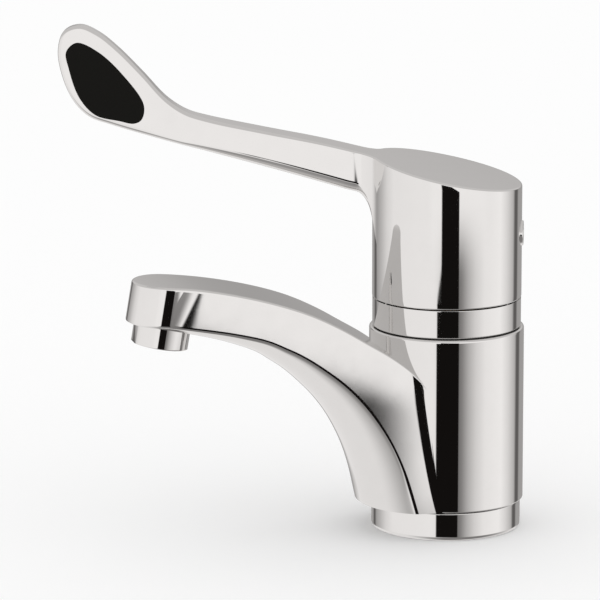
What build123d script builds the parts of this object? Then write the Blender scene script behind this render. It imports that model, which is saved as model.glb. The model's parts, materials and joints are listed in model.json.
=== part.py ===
"""Single-lever basin tap with a long elbow lever, a swivel spout and a cartridge valve.

Frame: millimetres, +Z up. The origin is the middle of the tap's foot, at the mouth of the
hole for its fixing stud. -Y is the tap's front: the lever points that way at rest.
"""
import math
import os

from build123d import *

# What the tap measures overall
FOOT_RADIUS = 25.0
FOOT_HEIGHT = 9.4
SLEEVE_RADIUS = 25.9
SLEEVE_WALL = 2.7
SLEEVE_HEIGHT = 58.7
COLLAR_HEIGHT = 9.7
COLLAR_STEP = 0.1
HOOD_RADIUS = 24.95
LEVER_REACH = 129.9
LEVER_RISE = 89.7
SPOUT_REACH = 97.3
SPOUT_RISE = 78.7

# Running gaps and fits
SLIP_GAP = 0.4
RUNNING_FIT = 0.08
EASY_FIT = 0.2
SLIDE_FIT = 0.3
OVERRUN = 5.0
SMALL_EDGE = 0.4

# Travel of the moving pieces, in degrees
SPOUT_REST_TURN = 18.75
SPOUT_TURN_EACH_WAY = 55.0
STOP_SLOT_MARGIN_TURN = 1.0
LEVER_LIFT = 20.0

# Foot ring and its gasket
FOOT_EDGE = 1.3
FOOT_BORE = 17.4
FOOT_STEP = 5.0
GASKET_INSET = 1.0
GASKET_WIDTH = 3.0
GASKET_THICKNESS = 1.8

# Valve body
BODY_GAP = 0.8
NECK_RADIUS = 16.5
SPIGOT_RADIUS = 18.8
SEAT_DEPTH = 6.9
STUD_HOLE_RADIUS = 3.4
STUD_HOLE_DEPTH = 14.0
INLET_RADIUS = 4.5
INLET_DEPTH = 13.0
INLET_OFFSET = 10.6
PASSAGE_RADIUS = 3.2
PORT_CIRCLE = 7.6
PORT_ANGLE = 30.0
GALLERY_HEIGHT = 18.0
GALLERY_DEPTH = 1.6

# Rings that the sleeve turns on
BEARING_HEIGHT = 5.0
BEARING_DEPTH = 1.2
BEARING_INSET = 1.2
SEAL_WIRE = 1.1
SEAL_SPACING = 3.0
SLIP_WASHER_WIDTH = 1.7
STOP_PIN_RADIUS = 1.2
STOP_PIN_RISE = 8.8
STOP_PIN_DEPTH = 3.0
STOP_SLOT_DEPTH = 1.4

# Cartridge, from its seat upward
CARTRIDGE_RADIUS = 14.0
CARTRIDGE_WALL = 1.5
BASE_THICKNESS = 4.5
FIXED_DISC_THICKNESS = 3.0
MOVING_DISC_THICKNESS = 3.0
MOVING_DISC_HOLLOW = 1.5
CARRIER_THICKNESS = 5.0
CARRIER_FLOOR = 0.4
DISC_RADIUS = 9.5
SHOULDER_THICKNESS = 1.6
NUT_THREAD_RADIUS = 15.2
NUT_THREAD_LENGTH = 2.7
NUT_HEAD = 3.0
NUT_HEAD_RADIUS = 16.4
NUT_SLOTS = 6
NUT_SLOT_WIDTH = 3.0
NUT_SLOT_DEPTH = 2.7
SHROUD_RADIUS = 11.2
SHROUD_RISE = 1.0
TURRET_RADIUS = 10.0
TURRET_NECK = 9.0
TURRET_FLOOR = 2.6
PIVOT_RISE = 5.0
PIVOT_PIN_RADIUS = 1.5
PIVOT_COVER = 2.4
BALL_RADIUS = 2.8
STEM_WIDTH = 7.0
STEM_ROD_RADIUS = 2.2
STEM_SHOULDER_DROP = 8.0
PORT_SEAL_WIRE = 0.7
PORT_SEAL_RADIUS = 3.0

# Collar
COLLAR_WALL = 1.5
COLLAR_FLOOR = 1.5

# Hood of the lever
HOOD_WALL = 2.6
HOOD_LIP_WALL = 1.55
HOOD_LIP_HEIGHT = 5.0
HOOD_CEILING = 3.2
HOOD_RIM_EDGE = 0.5
BOSS_RADIUS = 10.0
BOSS_GAP = 3.8
BUSH_WALL = 1.3
BUSH_LENGTH = 9.8
GRUB_SCREW_RADIUS = 2.0
GRUB_SCREW_LENGTH = 6.2
GRUB_SCREW_RISE = 2.9
GRUB_SOCKET_RADIUS = 1.25
GRUB_SOCKET_DEPTH = 2.5
COVER_RADIUS = 4.25
COVER_PROUD = 0.5
COVER_LENGTH = 3.0
COVER_EDGE = 0.35

# Lever seen from the side. Each pair is a share of the arm's length out from the hood, and a
# share of the lever's rise above the hood's foot.
HOOD_BACK_SHARE = 0.410
HOOD_MIDDLE_SHARE = 0.475
ARM_TOP_SHARES = (
    (-0.009, 0.533),
    (0.163, 0.578),
    (0.353, 0.619),
    (0.525, 0.659),
)
PADDLE_TOP_SHARES = (
    (0.593, 0.683),
    (0.656, 0.731),
    (0.732, 0.826),
    (0.809, 0.916),
    (0.871, 0.973),
)
PADDLE_END_SHARES = (
    (0.929, 1.0),
    (0.980, 0.977),
    (1.0, 0.905),
    (0.985, 0.803),
    (0.950, 0.714),
    (0.902, 0.658),
)
ARM_BOTTOM_SHARES = (
    (0.828, 0.627),
    (0.674, 0.578),
    (0.519, 0.535),
    (0.315, 0.474),
    (0.086, 0.403),
)
ARM_ROOT_SHARES = (
    (0.035, 0.386),
    (0.005, 0.339),
    (-0.008, 0.272),
    (-0.025, 0.172),
)
# Lever seen from above: a share of the arm's length out from the hood, and the half width
# there as a share of the way from the paddle's to the arm's
ARM_HALF_WIDTH = 6.1
PADDLE_HALF_WIDTH = 2.9
LEVER_WIDTH_SHARES = (
    (-0.123, 1.0),
    (0.124, 0.875),
    (0.334, 0.75),
    (0.486, 0.625),
    (0.601, 0.313),
    (0.725, 0.0),
    (1.1, 0.0),
)
ARM_BLEND = 7.0
# Grip pad let into the paddle, in the same shares as the lever's side view
PAD_SHARES = (
    (0.972, 0.901),
    (0.939, 0.936),
    (0.872, 0.904),
    (0.792, 0.818),
    (0.725, 0.706),
    (0.732, 0.651),
    (0.756, 0.635),
    (0.805, 0.644),
    (0.880, 0.665),
    (0.931, 0.729),
    (0.964, 0.838),
)
PAD_PROUD = 0.35
PAD_EDGE = 0.25

# Spout seen from the side. Each pair is a share of the spout's length out from the sleeve,
# and a share of its rise above the sleeve's foot.
SPOUT_TOP_SHARES = (
    (-0.349, 0.246),
    (-0.262, 0.426),
    (-0.200, 0.525),
    (-0.123, 0.603),
    (-0.027, 0.671),
    (0.091, 0.737),
    (0.209, 0.801),
    (0.351, 0.864),
    (0.517, 0.916),
    (0.708, 0.959),
    (0.899, 0.988),
    (1.094, 1.0),
    (1.290, 0.998),
)
# Spout seen from above: a share of its length out from the sleeve, and the half width there
# as a share of the way from the spout's own to the sleeve's
SPOUT_HALF_WIDTH = 12.5
SPOUT_WIDTH_SHARES = (
    (-0.293, 0.850),
    (-0.083, 0.705),
    (0.127, 0.560),
    (0.338, 0.414),
    (0.548, 0.268),
    (0.700, 0.160),
    (0.800, 0.082),
    (0.860, 0.036),
    (0.900, 0.0),
    (1.290, 0.0),
)
# Underside, station by station: out and up as above, the half width share, the belly's depth
# as a share of that half width, and how far its section leans back from upright in degrees
SPOUT_BELLY_SHARES = (
    (1.234, 0.845, 0.0, 0.112, 10.0),
    (1.001, 0.802, 0.0, 0.160, 11.0),
    (0.828, 0.765, 0.089, 0.220, 10.0),
    (0.651, 0.714, 0.228, 0.307, 12.0),
    (0.486, 0.633, 0.372, 0.392, 20.0),
    (0.329, 0.511, 0.525, 0.464, 36.0),
    (0.228, 0.399, 0.630, 0.507, 50.0),
    (0.156, 0.280, 0.707, 0.542, 61.0),
    (0.108, 0.161, 0.759, 0.566, 71.0),
    (0.074, 0.041, 0.794, 0.584, 76.0),
    (0.052, -0.074, 0.810, 0.598, 79.0),
)
BELLY_POWER = 3.2
BELLY_OVERWIDTH_SHARE = 1.12
BELLY_CUT_SHARE = 1.04
BELLY_STEPS = 12
SPOUT_BLOCK = 60.0
SPOUT_TOP_EDGE = 1.0
SLEEVE_EDGE = 0.8
RIM_MATCH = 1.2
# Waterway from the gallery round the valve body to the aerator, in the side view's shares
WATERWAY_RADIUS = 4.2
WATERWAY_SHARES = ((-0.097, 0.409), (0.198, 0.600), (0.562, 0.811), (1.0, 0.897))
WATERWAY_BEND = 18.0

# Aerator, its axis leaning out at the bottom
AERATOR_TILT = 9.5
AERATOR_SEAT_SHARE = 0.811
AERATOR_RADIUS = 9.5
AERATOR_DROP = 6.9
AERATOR_RECESS = 1.6
AERATOR_THREAD_RADIUS = 8.2
AERATOR_THREAD_LENGTH = 4.6
AERATOR_WALL = 1.4
AERATOR_FLAT = 8.9
AERATOR_FLAT_HEIGHT = 4.6
AERATOR_LIP = 0.8
AERATOR_LIP_HEIGHT = 0.8
AERATOR_SEAL_THICKNESS = 1.2
SCREEN_THICKNESS = 0.8
SCREEN_HOLE = 0.55
SCREEN_PITCH = 1.75
SCREEN_RINGS = 3
SCREEN_HOLES_A_RING = 6
INSERT_HEIGHT = 6.0
INSERT_HOLES = 6
INSERT_HOLE_RADIUS = 1.1
INSERT_HOLE_CIRCLE = 3.8

# Heights of the outside, from the foot upward
SLEEVE_BOTTOM = FOOT_HEIGHT + SLIP_GAP
SLEEVE_TOP = SLEEVE_BOTTOM + SLEEVE_HEIGHT
COLLAR_BOTTOM = SLEEVE_TOP + SLIP_GAP
HOOD_BOTTOM = COLLAR_BOTTOM + COLLAR_HEIGHT
AERATOR_SEAT = SLEEVE_BOTTOM + AERATOR_SEAT_SHARE * SPOUT_RISE

# Radii, and heights under the sleeve
COLLAR_RADIUS = HOOD_RADIUS - COLLAR_STEP
SLEEVE_BORE = SLEEVE_RADIUS - SLEEVE_WALL
BODY_RADIUS = SLEEVE_BORE - BODY_GAP
RING_RADIUS = SLEEVE_BORE - RUNNING_FIT
GASKET_INNER = FOOT_BORE + GASKET_INSET
GALLERY_Z = SLEEVE_BOTTOM + WATERWAY_SHARES[0][1] * SPOUT_RISE
SEAL_RISE = GALLERY_HEIGHT / 2 + SEAL_SPACING
LOWER_SEAL_Z = GALLERY_Z - SEAL_RISE
UPPER_SEAL_Z = GALLERY_Z + SEAL_RISE
LOWER_BEARING_Z = SLEEVE_BOTTOM + BEARING_INSET
UPPER_BEARING_Z = SLEEVE_TOP - BEARING_INSET - BEARING_HEIGHT
STOP_PIN_Z = SLEEVE_BOTTOM + STOP_PIN_RISE
PORTS = (0.0, 180.0 - 2 * PORT_ANGLE, 180.0 + 2 * PORT_ANGLE)

# Heights of the cartridge, and the travel of its carrier
SEAT_Z = COLLAR_BOTTOM - SEAT_DEPTH
BASE_TOP = SEAT_Z + BASE_THICKNESS
DISC_FACE = BASE_TOP + FIXED_DISC_THICKNESS
CARRIER_BOTTOM = DISC_FACE + MOVING_DISC_THICKNESS
CARRIER_TOP = CARRIER_BOTTOM + CARRIER_THICKNESS
CARTRIDGE_BORE = CARTRIDGE_RADIUS - CARTRIDGE_WALL
CHAMBER_TOP = CARRIER_TOP + EASY_FIT
SHOULDER_TOP = CHAMBER_TOP + SHOULDER_THICKNESS
NECK_TOP = SHOULDER_TOP + NUT_THREAD_LENGTH
NUT_TOP = NECK_TOP + NUT_HEAD
SHROUD_TOP = NUT_TOP + SHROUD_RISE
PIVOT_Z = SHROUD_TOP + PIVOT_RISE
TURRET_TOP = PIVOT_Z + PIVOT_COVER
BALL_Z = CARRIER_BOTTOM + CARRIER_FLOOR + SLIDE_FIT + BALL_RADIUS
BALL_DROP = PIVOT_Z - BALL_Z
CARRIER_TRAVEL = BALL_DROP * math.radians(LEVER_LIFT)
DISC_OFFSET = CARRIER_TRAVEL / 2

# Heights inside the hood, and how far its rim swings from the pivot
BOSS_BOTTOM = TURRET_TOP + BOSS_GAP
STEM_TOP = BOSS_BOTTOM + BUSH_LENGTH
GRUB_SCREW_Z = BOSS_BOTTOM + GRUB_SCREW_RISE
BUSH_HALF = STEM_WIDTH / 2 + BUSH_WALL
RIM_REACH = math.hypot(HOOD_RADIUS - HOOD_RIM_EDGE, PIVOT_Z - HOOD_BOTTOM - HOOD_RIM_EDGE) + HOOD_RIM_EDGE
SEAT_REACH = RIM_REACH + EASY_FIT
FAR = 2 * LEVER_REACH


def side_run(shares, root, reach, floor, rise):
    """Outline from its shares: out past a root, and up from a floor."""
    return [(root + out * (reach - root), floor + up * rise) for out, up in shares]


def lever_run(shares):
    """Places seen from the side that follow the lever's sizes."""
    return side_run(shares, HOOD_RADIUS, LEVER_REACH, HOOD_BOTTOM, LEVER_RISE)


def spout_run(shares):
    """Places seen from the side that follow the spout's sizes."""
    return side_run(shares, SLEEVE_RADIUS, SPOUT_REACH, SLEEVE_BOTTOM, SPOUT_RISE)


def lever_widths():
    """Half widths of the lever from the hood out to past its end."""
    return side_run(LEVER_WIDTH_SHARES, HOOD_RADIUS, LEVER_REACH,
                    PADDLE_HALF_WIDTH, ARM_HALF_WIDTH - PADDLE_HALF_WIDTH)


def spout_widths():
    """Half widths of the spout from inside the sleeve out to past its end."""
    return side_run(SPOUT_WIDTH_SHARES, SLEEVE_RADIUS, SPOUT_REACH,
                    SPOUT_HALF_WIDTH, SLEEVE_RADIUS - SPOUT_HALF_WIDTH)


def hood_top_run():
    """Sloping top of the hood and the arm, from behind the hood outward."""
    back = (-HOOD_RADIUS - OVERRUN, HOOD_BOTTOM + HOOD_BACK_SHARE * LEVER_RISE)
    middle = (0.0, HOOD_BOTTOM + HOOD_MIDDLE_SHARE * LEVER_RISE)
    return [back, middle] + lever_run(ARM_TOP_SHARES)


def cylinder(radius, bottom, top, x=0, y=0):
    """Upright cylinder between two heights."""
    return Pos(x, y, (bottom + top) / 2) * Cylinder(radius, top - bottom)


def tube(outer, inner, bottom, top):
    """Upright tube between two heights."""
    return cylinder(outer, bottom, top) - cylinder(inner, bottom - OVERRUN, top + OVERRUN)


def rod(start, end, radius):
    """Cylinder from one point to another."""
    run = Vector(*end) - Vector(*start)
    plane = Plane(origin=start, z_dir=run)
    return plane * Pos(0, 0, run.length / 2) * Cylinder(radius, run.length)


def ring_of_wire(radius, wire, z, x=0, y=0):
    """Round ring of round section."""
    return Pos(x, y, z) * Torus(radius, wire)


def box(x_low, x_high, y_low, y_high, z_low, z_high):
    """Block between two corners."""
    middle = Pos((x_low + x_high) / 2, (y_low + y_high) / 2, (z_low + z_high) / 2)
    return middle * Box(x_high - x_low, y_high - y_low, z_high - z_low)


def side(out, up):
    """Point in the upright plane of the lever or spout, before it is turned."""
    return Vector(0, -out, up)


def side_points(run):
    """Points of an outline seen from the side."""
    return [side(out, up) for out, up in run]


def between(run, place):
    """Height of a run of points at one place along it, straight from point to point."""
    for (out, value), (next_out, next_value) in zip(run, run[1:]):
        if min(out, next_out) <= place <= max(out, next_out):
            return value + (next_value - value) * (place - out) / (next_out - out)
    return run[-1][1]


def across(face, half):
    """Side outline thickened to both sides."""
    return extrude(face, amount=half, both=True)


def port_place(angle):
    """Middle of a port, at an angle from the front."""
    turn = math.radians(angle)
    return PORT_CIRCLE * math.sin(turn), -PORT_CIRCLE * math.cos(turn)


def make_base_ring():
    """Polished foot ring that stands on the basin."""
    ring = cylinder(FOOT_RADIUS, 0, FOOT_HEIGHT)
    ring = fillet(ring.edges().group_by(Axis.Z)[0], FOOT_EDGE)
    ring = chamfer(ring.edges().group_by(Axis.Z)[-1], SMALL_EDGE)
    ring -= cylinder(FOOT_BORE, -OVERRUN, FOOT_HEIGHT + OVERRUN)
    ring -= cylinder(BODY_RADIUS, FOOT_STEP, FOOT_HEIGHT + OVERRUN)
    return ring - tube(GASKET_INNER + GASKET_WIDTH, GASKET_INNER, -OVERRUN, GASKET_THICKNESS)


def make_base_seal():
    """Gasket in the groove under the foot ring."""
    return tube(GASKET_INNER + GASKET_WIDTH, GASKET_INNER, 0, GASKET_THICKNESS)


def make_valve_body():
    """Brass core with both inlets, the mixed-water way and the cartridge seat."""
    body = cylinder(FOOT_BORE, 0, FOOT_STEP)
    body += cylinder(BODY_RADIUS, FOOT_STEP, COLLAR_BOTTOM)
    body += cylinder(SPIGOT_RADIUS, COLLAR_BOTTOM, COLLAR_BOTTOM + COLLAR_FLOOR)
    body += cylinder(NECK_RADIUS, COLLAR_BOTTOM, NECK_TOP)
    body -= cylinder(CARTRIDGE_RADIUS, SEAT_Z, NECK_TOP + OVERRUN)
    body -= cylinder(NUT_THREAD_RADIUS, SHOULDER_TOP, NECK_TOP + OVERRUN)
    body -= cylinder(STUD_HOLE_RADIUS, -OVERRUN, STUD_HOLE_DEPTH)
    for angle, way in zip(PORTS[1:], (1, -1)):
        x, y = port_place(angle)
        inlet = (way * INLET_OFFSET, 0, INLET_DEPTH - PASSAGE_RADIUS)
        body -= cylinder(INLET_RADIUS, -OVERRUN, INLET_DEPTH, way * INLET_OFFSET)
        body -= rod(inlet, (x, y, SEAT_Z + PASSAGE_RADIUS), PASSAGE_RADIUS)
    x, y = port_place(PORTS[0])
    body -= cylinder(PASSAGE_RADIUS, GALLERY_Z, SEAT_Z + OVERRUN, x, y)
    body -= rod((x, y + PASSAGE_RADIUS, GALLERY_Z), (x, -BODY_RADIUS - OVERRUN, GALLERY_Z), PASSAGE_RADIUS)
    gallery_top = GALLERY_Z + GALLERY_HEIGHT / 2
    gallery_bottom = GALLERY_Z - GALLERY_HEIGHT / 2
    body -= tube(SLEEVE_RADIUS, BODY_RADIUS - GALLERY_DEPTH, gallery_bottom, gallery_top)
    for z in (LOWER_BEARING_Z, UPPER_BEARING_Z):
        body -= tube(SLEEVE_RADIUS, BODY_RADIUS - BEARING_DEPTH, z, z + BEARING_HEIGHT)
    for z in (LOWER_SEAL_Z, UPPER_SEAL_Z):
        inner = RING_RADIUS - 2 * SEAL_WIRE
        body -= tube(SLEEVE_RADIUS, inner, z - SEAL_WIRE, z + SEAL_WIRE)
    return body - stop_pin()


def make_bearing_ring(bottom):
    """Plastic ring in a groove of the valve body, for the sleeve to turn on."""
    return tube(RING_RADIUS, BODY_RADIUS - BEARING_DEPTH, bottom, bottom + BEARING_HEIGHT)


def make_spout_seals():
    """Two O-rings that close the water gallery above and below."""
    return [ring_of_wire(RING_RADIUS - SEAL_WIRE, SEAL_WIRE, z) for z in (LOWER_SEAL_Z, UPPER_SEAL_Z)]


def make_slip_washer(bottom, thickness):
    """Thin plastic washer that shows as the dark line above or below the sleeve."""
    return tube(BODY_RADIUS + SLIP_WASHER_WIDTH, BODY_RADIUS, bottom, bottom + thickness)


def stop_pin():
    """Pin that stands out at the back and stops the spout."""
    start = (0, BODY_RADIUS - STOP_PIN_DEPTH, STOP_PIN_Z)
    end = (0, SLEEVE_BORE + STOP_SLOT_DEPTH - EASY_FIT, STOP_PIN_Z)
    return rod(start, end, STOP_PIN_RADIUS)


def stop_slot():
    """Curved slot inside the sleeve that the stop pin runs in."""
    half_pin = math.degrees(math.asin((STOP_PIN_RADIUS + EASY_FIT) / SLEEVE_BORE))
    half_turn = SPOUT_TURN_EACH_WAY + half_pin + STOP_SLOT_MARGIN_TURN
    radius = SLEEVE_BORE + STOP_SLOT_DEPTH
    with BuildSketch(Plane.XY.offset(STOP_PIN_Z - STOP_PIN_RADIUS - EASY_FIT)) as sector:
        with BuildLine():
            swing = CenterArc((0, 0), radius, 90 - half_turn, 2 * half_turn)
            Line((0, 0), swing @ 0)
            Line((0, 0), swing @ 1)
        make_face()
    return extrude(sector.sketch, amount=2 * (STOP_PIN_RADIUS + EASY_FIT))


def belly_rise(share):
    """How far the belly has risen at a share of its half width, from 0 to 1."""
    return 1 - (1 - abs(share) ** BELLY_POWER) ** (1 / BELLY_POWER)


def belly_section(out_share, up_share, width_share, depth_share, lean):
    """One section of the block whose underside is the spout's rounded belly."""
    (out, up), = spout_run([(out_share, up_share)])
    half = SPOUT_HALF_WIDTH + width_share * (SLEEVE_RADIUS - SPOUT_HALF_WIDTH)
    wide = half * BELLY_OVERWIDTH_SHARE
    deep = half * depth_share / belly_rise(1 / BELLY_OVERWIDTH_SHARE)
    cut = BELLY_CUT_SHARE / BELLY_OVERWIDTH_SHARE
    shares = [cut * math.sin(math.pi * (step / BELLY_STEPS - 0.5)) for step in range(BELLY_STEPS + 1)]
    points = [(wide * share, deep * belly_rise(share)) for share in shares]
    ledge = points[0][1]
    edge = SLEEVE_RADIUS + OVERRUN
    turn = math.radians(lean)
    back = Vector(0, math.sin(turn), math.cos(turn))
    plane = Plane(origin=side(out, up), x_dir=(1, 0, 0), z_dir=Vector(1, 0, 0).cross(back))
    with BuildSketch(plane) as section:
        with BuildLine():
            belly = Spline(*points)
            Polyline(belly @ 1, (edge, ledge), (edge, SPOUT_BLOCK), (-edge, SPOUT_BLOCK), (-edge, ledge), belly @ 0)
        make_face()
    return section.sketch.faces()[0]


def spout_block():
    """Everything above the spout's underside."""
    return loft([belly_section(*station) for station in SPOUT_BELLY_SHARES])


def under_run(run, floor):
    """Block below a side outline, down to a floor and wide enough for the whole tap."""
    start = side(run[0][0], floor)
    end = side(run[-1][0], floor)
    with BuildSketch(Plane.YZ) as below:
        with BuildLine():
            top = Spline(*[(-out, up) for out, up in run])
            Polyline(top @ 1, (end.Y, end.Z), (start.Y, start.Z), top @ 0)
        make_face()
    return across(below.sketch, 2 * SLEEVE_RADIUS)


def plan_block(half_widths, top):
    """Upright block from an outline seen from above: straight, curved, then straight again."""
    right = [(half, -out) for out, half in half_widths]
    left = [(-half, y) for half, y in right]
    with BuildSketch() as plan:
        with BuildLine():
            for wall in (right, left):
                start = Vector(*wall[1]) - Vector(*wall[0])
                Line(wall[0], wall[1])
                Spline(*wall[1:-1], tangents=(start, (0, -1)))
                Line(wall[-2], wall[-1])
            Line(right[0], left[0])
            Line(right[-1], left[-1])
        make_face()
    return extrude(plan.sketch, amount=top)


def aerator_place():
    """Location on the aerator's axis, its Z pointing up into the spout."""
    return Pos(0, -SPOUT_REACH, AERATOR_SEAT) * Rot(-AERATOR_TILT, 0, 0)


def spout_turn(piece):
    """Turn a piece of the spout from the front to where it stands at rest."""
    return Rot(0, 0, SPOUT_REST_TURN) * piece


def nose_trim():
    """What is cut away outside the spout's round nose."""
    high = SPOUT_BLOCK
    block = box(-high, high, -high, 0, -high, high)
    return aerator_place() * (block - Cylinder(SPOUT_HALF_WIDTH, 2 * high + OVERRUN))


def waterway():
    """Bore from the gallery round the valve body to the aerator."""
    path = FilletPolyline(*side_points(spout_run(WATERWAY_SHARES)), radius=WATERWAY_BEND)
    plane = Plane(origin=path @ 0, z_dir=path % 0)
    return sweep(plane * Circle(WATERWAY_RADIUS), path=path)


def on_rim(edge, run):
    """Whether an edge lies along the rim of a side outline and off its middle."""
    middle = edge @ 0.5
    high = abs(middle.Z - between(run, -middle.Y)) < RIM_MATCH
    return high and edge.length > OVERRUN and abs(middle.X) > OVERRUN


def spout_arm():
    """Curved arm of the spout, before it joins the sleeve."""
    top = spout_run(SPOUT_TOP_SHARES)
    arm = spout_block() & under_run(top, -OVERRUN)
    arm &= plan_block(spout_widths(), FAR)
    arm -= nose_trim()
    arm -= box(-FAR, FAR, -FAR, FAR, -FAR, SLEEVE_BOTTOM)
    return fillet([edge for edge in arm.edges() if on_rim(edge, top)], SPOUT_TOP_EDGE)


def make_spout():
    """Sleeve and curved spout in one casting, with its waterway."""
    spout = cylinder(SLEEVE_RADIUS, SLEEVE_BOTTOM, SLEEVE_TOP)
    spout = fillet(spout.edges().group_by(Axis.Z)[-1], SLEEVE_EDGE)
    spout += spout_arm() - cylinder(HOOD_RADIUS + EASY_FIT, SLEEVE_TOP, FAR)
    spout -= cylinder(SLEEVE_BORE, -OVERRUN, SLEEVE_TOP + OVERRUN)
    spout -= waterway()
    spout -= aerator_place() * cylinder(AERATOR_RADIUS + EASY_FIT, -SPOUT_BLOCK, AERATOR_RECESS)
    socket_top = AERATOR_RECESS + AERATOR_THREAD_LENGTH + AERATOR_SEAL_THICKNESS
    spout -= aerator_place() * cylinder(AERATOR_THREAD_RADIUS, 0, socket_top)
    return spout_turn(spout - stop_slot())


def make_aerator_housing():
    """Chromed ring of the aerator, with two spanner flats."""
    housing = cylinder(AERATOR_RADIUS, -AERATOR_DROP, AERATOR_RECESS)
    housing = chamfer(housing.edges().group_by(Axis.Z)[0], SMALL_EDGE)
    housing += cylinder(AERATOR_THREAD_RADIUS, 0, AERATOR_RECESS + AERATOR_THREAD_LENGTH)
    bore = AERATOR_THREAD_RADIUS - AERATOR_WALL
    housing -= cylinder(bore, AERATOR_LIP_HEIGHT - AERATOR_DROP, FAR)
    housing -= cylinder(bore - AERATOR_LIP, -FAR, FAR)
    for way in (1, -1):
        near, far = sorted((way * AERATOR_FLAT, way * FAR))
        housing -= box(-FAR, FAR, near, far, -FAR, AERATOR_FLAT_HEIGHT - AERATOR_DROP)
    return spout_turn(aerator_place() * housing)


def make_aerator_screen():
    """Fine metal screen at the mouth."""
    radius = AERATOR_THREAD_RADIUS - AERATOR_WALL
    bottom = AERATOR_LIP_HEIGHT - AERATOR_DROP
    screen = cylinder(radius, bottom, bottom + SCREEN_THICKNESS)
    holes = [cylinder(SCREEN_HOLE, -FAR, FAR)]
    for ring in range(1, SCREEN_RINGS + 1):
        for place in PolarLocations(ring * SCREEN_PITCH, ring * SCREEN_HOLES_A_RING):
            holes.append(place * cylinder(SCREEN_HOLE, -FAR, FAR))
    return spout_turn(aerator_place() * (screen - holes))


def make_aerator_insert():
    """Plastic jet insert above the screen."""
    radius = AERATOR_THREAD_RADIUS - AERATOR_WALL
    bottom = AERATOR_LIP_HEIGHT - AERATOR_DROP + SCREEN_THICKNESS
    insert = cylinder(radius, bottom, bottom + INSERT_HEIGHT)
    holes = [place * cylinder(INSERT_HOLE_RADIUS, -FAR, FAR)
             for place in PolarLocations(INSERT_HOLE_CIRCLE, INSERT_HOLES)]
    return spout_turn(aerator_place() * (insert - holes))


def make_aerator_seal():
    """Rubber washer above the aerator's thread."""
    bottom = AERATOR_RECESS + AERATOR_THREAD_LENGTH
    washer = tube(AERATOR_THREAD_RADIUS, WATERWAY_RADIUS, bottom, bottom + AERATOR_SEAL_THICKNESS)
    return spout_turn(aerator_place() * washer)


def make_collar_ring():
    """Plain ring between the sleeve and the lever's hood, dished at the top."""
    ring = cylinder(COLLAR_RADIUS, COLLAR_BOTTOM, HOOD_BOTTOM)
    ring = chamfer(ring.edges().group_by(Axis.Z)[0], SMALL_EDGE)
    ring -= cylinder(COLLAR_RADIUS - COLLAR_WALL, COLLAR_BOTTOM + COLLAR_FLOOR, FAR)
    ring -= cylinder(SPIGOT_RADIUS, -FAR, FAR)
    return ring - Pos(0, 0, PIVOT_Z) * Sphere(SEAT_REACH)


def make_cartridge_base():
    """Bottom plate of the cartridge, its ports over the valve body's."""
    plate = cylinder(CARTRIDGE_RADIUS, SEAT_Z, BASE_TOP)
    for angle in PORTS:
        x, y = port_place(angle)
        plate -= cylinder(PORT_SEAL_RADIUS - PORT_SEAL_WIRE, -FAR, FAR, x, y)
        plate -= cylinder(PORT_SEAL_RADIUS + PORT_SEAL_WIRE, SEAT_Z, SEAT_Z + 2 * PORT_SEAL_WIRE, x, y)
    return plate


def make_port_seals():
    """Three small O-rings under the cartridge."""
    z = SEAT_Z + PORT_SEAL_WIRE
    return [ring_of_wire(PORT_SEAL_RADIUS, PORT_SEAL_WIRE, z, *port_place(angle)) for angle in PORTS]


def make_cartridge_housing():
    """Plastic shell of the cartridge with a shroud round the turret."""
    shell = cylinder(CARTRIDGE_RADIUS, BASE_TOP, SHOULDER_TOP)
    shell += cylinder(SHROUD_RADIUS, SHOULDER_TOP, SHROUD_TOP)
    shell -= cylinder(CARTRIDGE_BORE, BASE_TOP, CHAMBER_TOP)
    return shell - cylinder(TURRET_RADIUS + RUNNING_FIT, BASE_TOP, FAR)


def make_cartridge_nut():
    """Brass ring nut that holds the cartridge down, with spanner slots."""
    nut = cylinder(NUT_THREAD_RADIUS, SHOULDER_TOP, NECK_TOP)
    nut += cylinder(NUT_HEAD_RADIUS, NECK_TOP, NUT_TOP)
    nut -= cylinder(SHROUD_RADIUS, -FAR, FAR)
    half = NUT_SLOT_WIDTH / 2
    slot = box(NUT_HEAD_RADIUS - NUT_SLOT_DEPTH, FAR, -half, half, NECK_TOP, FAR)
    return nut - [place * slot for place in PolarLocations(0, NUT_SLOTS)]


def make_fixed_disc():
    """Ceramic disc that stays still, with the three ports."""
    disc = cylinder(CARTRIDGE_BORE, BASE_TOP, DISC_FACE)
    for angle in PORTS:
        x, y = port_place(angle)
        disc -= cylinder(PORT_SEAL_RADIUS - PORT_SEAL_WIRE, -FAR, FAR, x, y)
    return disc


def make_moving_disc():
    """Ceramic disc that slides and turns, hollow underneath to join the ports."""
    disc = cylinder(DISC_RADIUS, DISC_FACE, CARRIER_BOTTOM, 0, DISC_OFFSET)
    hollow_top = DISC_FACE + MOVING_DISC_HOLLOW
    return disc - cylinder(DISC_RADIUS - PORT_SEAL_RADIUS, 0, hollow_top, 0, DISC_OFFSET)


def make_disc_carrier():
    """Plastic carrier that the stem's ball pushes to and fro."""
    carrier = cylinder(DISC_RADIUS, CARRIER_BOTTOM, CARRIER_TOP, 0, DISC_OFFSET)
    return carrier - cylinder(BALL_RADIUS + SLIDE_FIT, CARRIER_BOTTOM + CARRIER_FLOOR, FAR)


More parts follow.
